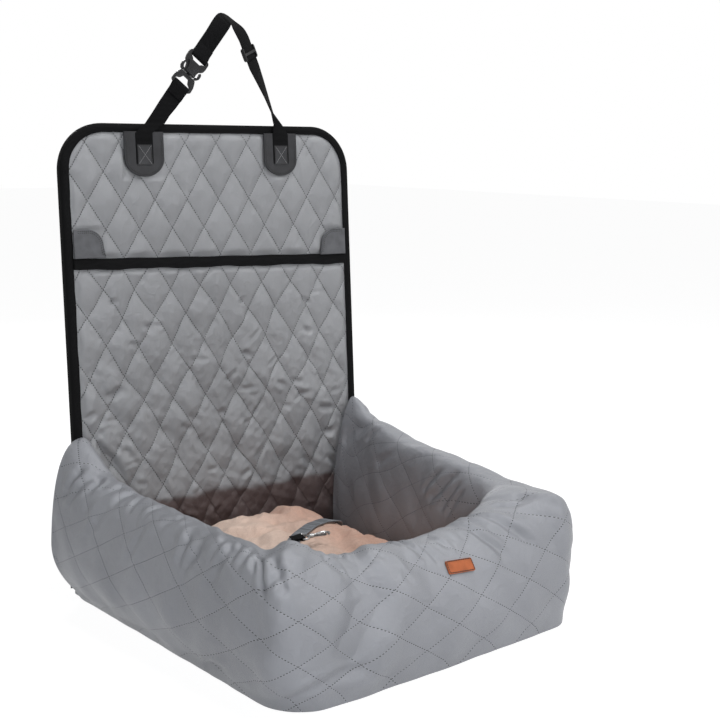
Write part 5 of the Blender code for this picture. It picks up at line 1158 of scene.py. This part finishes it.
# How far the right strand is turned back, in degrees, by its share from foot to head
STRAND_TURNS = ((0, 0), (0.08, 25), (0.15, 16), (0.22, -3), (0.35, -19), (0.50, -37), (0.60, -30), (0.75, -21),
                (0.85, -16), (1, 0))


def untwist(piece):
    """Turns the right strand about its own middle, so that it narrows towards its foot but never crosses over."""
    foot, head = Vector(on_panel(*STRAND_FOOT, STRAP_N)), Vector(on_panel(*STRAND_HEAD, STRAP_N))
    axis = head - foot
    for vert in piece.data.vertices:
        share = (vert.co - foot).dot(axis) / axis.length_squared
        middle = foot + axis * share
        if 0 < share < 1 and (vert.co - middle).length < 0.018:
            turn = Matrix.Rotation(math.radians(float(table(STRAND_TURNS, share))), 3, axis.normalized())
            vert.co = middle + turn @ (vert.co - middle)


# Buckle: a across it, b along it from its lower bar, in millimetres

def buckle_spot(a, b, c):
    sin, cos = math.sin(BUCKLE_TURN), math.cos(BUCKLE_TURN)
    a, b, c = a / 1000, b / 1000, c / 1000
    return Vector(on_panel(BUCKLE_X + cos * a + sin * b, BUCKLE_S - sin * a + cos * b, STRAP_N + c))


def rounded(outline, radius, steps=4):
    """A polygon with its corners rounded."""
    made, count = [], len(outline)
    for k in range(count):
        before, here, after = (Vector(outline[(k + d) % count]) for d in (-1, 0, 1))
        start = here + (before - here).normalized() * min(radius, (before - here).length * 0.45)
        end = here + (after - here).normalized() * min(radius, (after - here).length * 0.45)
        for m in range(steps + 1):
            t = m / steps
            made.append(tuple(start * (1 - t) ** 2 + here * 2 * t * (1 - t) + end * t * t))
    return made


def slab(name, outline, half_thick):
    """A flat block of an outline, as thick on either side of the buckle's middle."""
    deselect()
    bpy.ops.mesh.primitive_circle_add(vertices=len(outline), radius=1, fill_type="NGON")
    piece = active(name)
    for vert, (a, b) in zip(piece.data.vertices, outline):
        vert.co = (a, b, -half_thick)
    bpy.ops.object.mode_set(mode="EDIT")
    bpy.ops.mesh.select_all(action="SELECT")
    bpy.ops.mesh.extrude_region_move(TRANSFORM_OT_translate={"value": (0, 0, 2 * half_thick)})
    bpy.ops.mesh.select_all(action="SELECT")
    bpy.ops.mesh.normals_make_consistent(inside=False)
    bpy.ops.object.mode_set(mode="OBJECT")
    return piece


def carve(piece, other, operation):
    modify(piece, "BOOLEAN", object=other, operation=operation, solver="EXACT")
    bpy.data.objects.remove(other, do_unlink=True)


def mirrored(side):
    return side + [(-a, b) for a, b in reversed(side)]


def finish_moulding(piece, edge, body, stands_for):
    bevel(piece, edge, 3, 35)
    for vert in piece.data.vertices:
        vert.co = buckle_spot(*vert.co)
    face_out(piece)
    smooth(piece, 40)
    dress(piece, finishes["plastic"], body, stands_for)


def buckle_halves():
    """Side-release buckle: waisted housing with two slots for webbing, and two bowed prongs at its sides."""
    side = [(17, 0), (20, 3), (19.5, 13), (17.5, 19), (15, 24.5)]
    lower = slab("buckle_male_half", rounded(mirrored(side), 2.2), 2.0)
    slot = mirrored([(15.5, 5), (15.5, 8.5), (8.5, 12.5), (5.5, 19)])
    carve(lower, slab("slot", rounded(slot, 1.2), 8), "DIFFERENCE")
    carve(lower, slab("tongue", [(-3.2, 23), (3.2, 23), (3.2, 26.2), (-3.2, 26.2)], 1.6), "UNION")
    finish_moulding(lower, 0.55, "headrest_strap", ("buckle_male",))

    side = [(11.4, 26.6), (11.0, 34), (13.0, 40.2), (18.4, 43.5), (20, 50), (20, 61), (17, 64)]
    upper = slab("buckle_housing", rounded(mirrored(side), 2.2), 2.2)
    hub = mirrored([(9.0, 26.9), (8.6, 34), (10.5, 40.5), (13.5, 45), (12.0, 48.2)])
    carve(upper, slab("hub", rounded(hub, 2.0), 4.6), "UNION")
    slot = mirrored([(7.2, 50), (9.5, 53.0), (15.5, 55.5), (15.5, 59)])
    carve(upper, slab("slot", rounded(slot, 1.2), 8), "DIFFERENCE")
    finish_moulding(upper, 0.6, "headrest_strap", ("buckle_female",))

    outer = [(12.0, 25.2), (16.8, 26.6), (19.6, 31), (19.7, 36.4), (18.0, 40.6)]
    inner = [(15.1, 39.7), (15.9, 36.0), (15.4, 32.2), (13.4, 29.6), (11.9, 29.0), (11.9, 25.4)]
    for word, sign in (("left", -1), ("right", 1)):
        prong = slab(f"prong_{word}_bow", rounded([(sign * a, b) for a, b in outer + inner], 1.2), 2.1)
        finish_moulding(prong, 0.5, "prong_" + word, ("prong_" + word,))


def rounded_copies():
    """The webbing, the slider and the zip's parts as the solids have them, with their edges rounded."""
    webs, moulds = (2, 40), (3, 35)
    for name, node_name, finish, body, edge, (segments, angle), *reshapes in (
            ("short_webbing", "strap_short", "webbing", "headrest_strap", 0.0006, webs, reach_root),
            ("long_webbing", "strap_long", "webbing", "headrest_strap", 0.0006, webs, reach_root, untwist),
            ("webbing_end_left", "strap_end_left", "webbing", "upper_back", 0.0005, webs),
            ("webbing_end_right", "strap_end_right", "webbing", "upper_back", 0.0005, webs),
            ("hook_webbing", "hook_strap", "webbing", "bed", 0.0005, webs),
            ("slider_moulding", "strap_slider", "plastic", "strap_slider", 0.0004, moulds),
            ("zip_slider_casting", "zip_slider", "metal", "zip_slider", 0.0004, moulds),
            ("zip_pull_tab", "zip_pull", "plastic", "zip_pull", 0.0004, moulds)):
        piece = node_copy(name, node_name)
        for reshape in reshapes:
            reshape(piece)
        bevel(piece, edge, segments, angle)
        smooth(piece, 40)
        dress(piece, finishes[finish], body, (node_name,))


def foam_sheet():
    """The foam on the bed's bottom under its grey cloth, its edges rounded over."""
    piece = node_copy("foam_sheet", "floor_pad")
    bevel(piece, 0.003, 4, 40)
    smooth(piece, 50)
    dress(piece, finishes["base"], "bed", ("floor_pad",))


# Cushion

CUSHION_FOLDS = (
    (((-.115, .200), (-.060, .160), (-.005, .125), (.010, .080)), .011, .016),
    (((.175, .130), (.120, .085), (.085, .020), (.080, -.040)), .010, .015),
    (((-.165, .060), (-.110, .060), (-.050, .030), (-.020, -.030)), .010, .014),
    (((-.010, .220), (.010, .160), (-.010, .100)), .006, .012),
    (((.030, .000), (.000, -.050), (-.030, -.110)), .008, .014),
    (((-.140, -.040), (-.090, -.030), (-.060, -.080)), .008, .013),
    (((.120, -.020), (.090, -.070), (.100, -.120)), .008, .013),
    (((.150, .200), (.110, .180), (.090, .130)), .006, .012),
)
TETHER_LINE = ((.150, .243), (.146, .205), (.122, .140), (.083, .075), (.045, .030), (.012, .018),
               (-.025, .002), (-.060, -.022), (-.086, -.044))
HOOK_LINE = ((-.060, -.022), (-.086, -.044), (-.092, -.041), (-.078, -.050), (-.050, -.058))


def cushion_top(x, y):
    """Height of the solid cushion's upper face above the floor, and how near a place is to its rim."""
    half_x, half_y = 0.204, 0.213
    a, b = np.abs(x) / half_x, (y - CUSHION_Y) / half_y
    b = np.abs(b - CUSHION_SKEW * np.sign(x) * a * np.maximum(0, (1 - b) / 2) / half_y)
    reach = np.minimum((a ** 4 + b ** 4) ** 0.25, 1.0)
    mound = 0.014 * np.exp(-((x - 0.060) ** 2 + (y - 0.150) ** 2) / 0.070 ** 2 * 2.5)
    return CUSHION_BASE + 0.036 + 0.076 * (1 - reach ** 3.2) + mound * (1 - reach ** 4), reach


def cushion_sink(x, y):
    """How far the plush lies below the solid: a hollow by the right arm and one behind the mound."""
    side = 0.034 * ease((x - 0.022) / 0.085) * (1 - 0.45 * ease((y - 0.15) / 0.07)) * (1 - ease((-0.03 - y) / 0.09))
    return side + 0.016 * np.exp(-((x + 0.015) / 0.042) ** 2 - ((y - 0.185) / 0.048) ** 2)


def near_line(x, y, line):
    line, near = np.array(line, float), np.full(np.shape(x), 1e9)
    for p, q in zip(line, line[1:]):
        t = np.clip(((x - p[0]) * (q - p)[0] + (y - p[1]) * (q - p)[1]) / np.dot(q - p, q - p), 0, 1)
        near = np.minimum(near, np.hypot(x - p[0] - t * (q - p)[0], y - p[1] - t * (q - p)[1]))
    return near


def cushion_surface(x, y):
    """Height of the plush at a place, and how near that is to the cushion's rim."""
    top, reach = cushion_top(x, y)
    inside = 1 - reach ** 6
    relief = 0.0050 * ripple(x, y, 0.100, 81) + 0.0036 * ripple(x, y, 0.050, 82)
    for path, depth, width in CUSHION_FOLDS:
        relief = relief + crease(x, y, path, depth, width)
    relief = relief + 0.0016 * ripple(x, y, 0.026, 84)
    by_tether = ease((near_line(x, y, TETHER_LINE) - 0.012) / 0.016)
    relief = relief * (0.45 + 0.55 * by_tether)
    free = ease((near_line(x, y, HOOK_LINE) - 0.015) / 0.030)
    relief = np.minimum(relief, 0) * (0.25 + 0.75 * free) + np.maximum(relief, 0) * free
    return top + (relief - cushion_sink(x, y) * free) * inside - 0.0006, reach


def tether():
    """The grey webbing, laid over the plush from the bed's rear corner to the hook."""
    line = catmull([(x, y) for x, y in TETHER_LINE], 8)
    height, _ = cushion_surface(line[:, 0], line[:, 1])
    solid, _ = cushion_top(line[:, 0], line[:, 1])
    share = np.linspace(0, 1, len(line))
    kernel = np.array([1, 2, 3, 2, 1]) / 9
    height = np.convolve(np.pad(height, 2, mode="edge"), kernel, "valid") + 0.0018
    height = mix(height, solid + 0.0020, ease((share - 0.80) / 0.15))
    stations = []
    for k in range(0, len(line), 2):
        a, b = line[max(k - 1, 0)], line[min(k + 1, len(line) - 1)]
        rise = height[min(k + 1, len(line) - 1)] - height[max(k - 1, 0)]
        ahead = Vector((*(b - a), rise)).normalized()
        side = ahead.cross(Vector((0, 0, 1))).normalized()
        stations.append(((*line[k], height[k]), side, 0.020))
    piece = ribbon("tether_webbing", stations, 0.0016)
    dress(piece, finishes["tether"], "bed", ("tether_strap",))


def cushion():
    """The crumpled plush cushion: one closed form, flat underneath, mounded on top."""
    piece, a, b = grid("plush_cushion", 190, 190)
    gx, gy = a * 2 - 1, b * 2 - 1
    lift = np.maximum(np.abs(gx), np.abs(gy))
    drawn = 1 - 0.32 * np.clip(np.abs(gx) + np.abs(gy) - 1.72, 0, None)
    x = gx * 0.2035 * (1 - 0.035 * (1 - gy * gy)) * drawn
    y = gy * 0.212 * (1 - 0.035 * (1 - gx * gx)) * drawn + CUSHION_Y
    y = y + CUSHION_SKEW * gx * np.clip((1 - gy) / 2, 0, None)
    surface = cushion_surface(x, y)[0] + 0.0006 * ripple(x, y, 0.010, 83)
    height = (surface - CUSHION_BASE) * np.clip(1 - lift ** 16, 0, 1) ** 0.5
    lay(piece, np.stack([x, y, 0.0172 + np.maximum(height, 0.0)], -1))
    with opened(piece) as shape:
        bmesh.ops.contextual_create(shape, geom=[e for e in shape.edges if e.is_boundary])
        bmesh.ops.recalc_face_normals(shape, faces=shape.faces)
    smooth(piece)
    dress(piece, finishes["plush"], "bed", ("cushion_cover", "cushion_foam", "cushion_underside"))


# Label

def label():
    """The bare tag: a rolled rim, a groove for its stitches, and the stitches in it."""
    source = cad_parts["label"].data
    biggest = max(source.polygons, key=lambda f: f.area * (1 if f.normal.y < 0 else 0.01))
    out = biggest.normal.copy()
    places = np.array([v.co for v in source.vertices])
    centre = Vector((places.min(0) + places.max(0)) / 2)
    across = Matrix.Rotation(math.radians(-1.5), 3, out) @ (Vector((1, 0, 0)) - out * out.x).normalized()
    up = out.cross(across)
    if up.z < 0:
        up = -up
    wide, tall, radius = 0.025, 0.0096, 0.0025

    def at(m, n, lift):
        return centre + across * m + up * n + out * lift
    outline = []
    for cx, cy, start in ((1, 1, 0), (-1, 1, 90), (-1, -1, 180), (1, -1, 270)):
        outline += arc((cx * (wide - radius), cy * (tall - radius)), radius, start, start + 90, 4)
    rings = []
    for share, lift in ((1, -0.0006), (1.0, 0.0002), (0.985, 0.0008), (0.95, 0.0010), (0.90, 0.0010),
                        (0.86, 0.0005), (0.82, 0.0009), (0.5, 0.0010), (0.1, 0.0010)):
        long_share = 1 - (1 - share) * 0.45 if share > 0.8 else share
        rings.append([at(m * long_share, n * share, lift) for m, n in outline])
    piece = sweep("label_tag", rings)
    smooth(piece, 35)
    dress(piece, finishes["label"], "bed", ("label",))
    line = [at(m * 0.940, n * 0.87, 0.0012) for m, n in outline + outline[:1]]
    stitch_row("label_stitches", line, [out] * len(line), 0.0030, 0.0003, 0.00065, PALE_THREAD, "bed")


# What stays as the solids have it, with finishes of its own

def finish_nodes():
    for name, finish in (("board_lower", "board"), ("board_upper", "board"), ("swivel_eye", "metal"),
                         ("hook_body", "metal"), ("hook_gate", "metal"), ("zip_tape", "webbing"),
                         ("zip_coil", "plastic")):
        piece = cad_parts[name]
        piece.data.materials.clear()
        piece.data.materials.append(finishes[finish])


# Room, lights and camera

def white_ray(tree):
    """1 for the rays that show the white room: from the camera, and those that metal and glass send."""
    path = node(tree, "ShaderNodeLightPath").outputs
    seen = math_node(tree, "MAXIMUM", path["Is Camera Ray"], path["Is Glossy Ray"])
    return math_node(tree, "MAXIMUM", seen, path["Is Transmission Ray"])


def show_white(tree, end, lit, white, share):
    """Shows white in place of what is lit, to the rays that see the room."""
    blend = node(tree, "ShaderNodeMixShader", {"Fac": share, 1: lit.outputs[0], 2: white.outputs[0]})
    feed(tree, tree.nodes[end], {"Surface": blend.outputs[0]})


def room():
    deselect()
    bpy.ops.mesh.primitive_plane_add(size=24, location=(0, 4, -0.0005))
    floor = active("floor")
    material, tree, shader = new_material("pale_floor", (0.86, 0.86, 0.87), 0.9, 0.0, 0.1)
    glow = node(tree, "ShaderNodeEmission", {"Color": (1, 1, 1, 1), "Strength": 1.25})
    show_white(tree, "Material Output", shader, glow, math_node(tree, "MULTIPLY", white_ray(tree), 0.75))
    floor.data.materials.append(material)

    world = bpy.data.worlds.new("studio")
    bpy.context.scene.world = world
    world.use_nodes = True
    tree = world.node_tree
    fill = tree.nodes["Background"]
    feed(tree, fill, {"Color": (0.96, 0.98, 1.0, 1), "Strength": 0.12})
    white = node(tree, "ShaderNodeBackground", {"Color": (1, 1, 1, 1), "Strength": 1.0})
    show_white(tree, "World Output", fill, white, white_ray(tree))


def lamps():
    """Each lamp: its name, place, target, size, power and colour."""
    plain, cool, bed = (1, 1, 1), (0.94, 0.97, 1.0), (0, 0, 0.2)
    for name, place, target, size, power, colour in (
            ("front", (-1.6, -2.3, 0.9), (-0.1, -0.2, 0.2), 0.5, 22, cool),
            ("top", (0.5, -0.1, 3.0), bed, 0.9, 30, plain),
            ("high", (1.0, -1.4, 2.6), bed, 0.7, 26, plain),
            ("side", (1.4, -2.2, 0.5), bed, 0.4, 8, plain),
            ("rear", (0.9, 2.8, 1.5), (0, 0.1, 0.3), 0.8, 20, plain)):
        light = bpy.data.lights.new(name, "AREA")
        light.shape, light.size, light.energy, light.color = "DISK", size, power, colour
        holder = add_object(name, light)
        holder.location = place
        holder.rotation_euler = (Vector(target) - Vector(place)).to_track_quat("-Z", "Y").to_euler()


def camera():
    """The photograph's camera, fitted to the outlines of the panel and the base."""
    data = bpy.data.cameras.new("camera")
    data.lens, data.sensor_width = 70, 36
    holder = add_object("camera", data)
    place = (-1.20, -1.66, 0.71)
    yaw, pitch, roll = math.radians(-37.4), math.radians(9.0), math.radians(0.7)
    ahead = Vector((-math.sin(yaw) * math.cos(pitch), math.cos(yaw) * math.cos(pitch), -math.sin(pitch)))
    right = Vector((math.cos(yaw), math.sin(yaw), 0))
    up = right.cross(ahead)
    level, lift = right * math.cos(roll) + up * math.sin(roll), up * math.cos(roll) - right * math.sin(roll)
    rows = [(level[k], lift[k], -ahead[k], place[k]) for k in range(3)]
    holder.matrix_world = Matrix((*rows, (0, 0, 0, 1)))
    bpy.context.scene.camera = holder


camera()
room()
lamps()
bpy.context.scene.view_settings.view_transform = "Standard"

bed_wall()
bed_base()
foam_sheet()
cushion()
tether()
upper_quilt()
pocket_cloth()
back_lining()
edge_binding()
pocket_band()
corner_tabs()
strap_patches()
rounded_copies()
buckle_halves()
label()
finish_nodes()
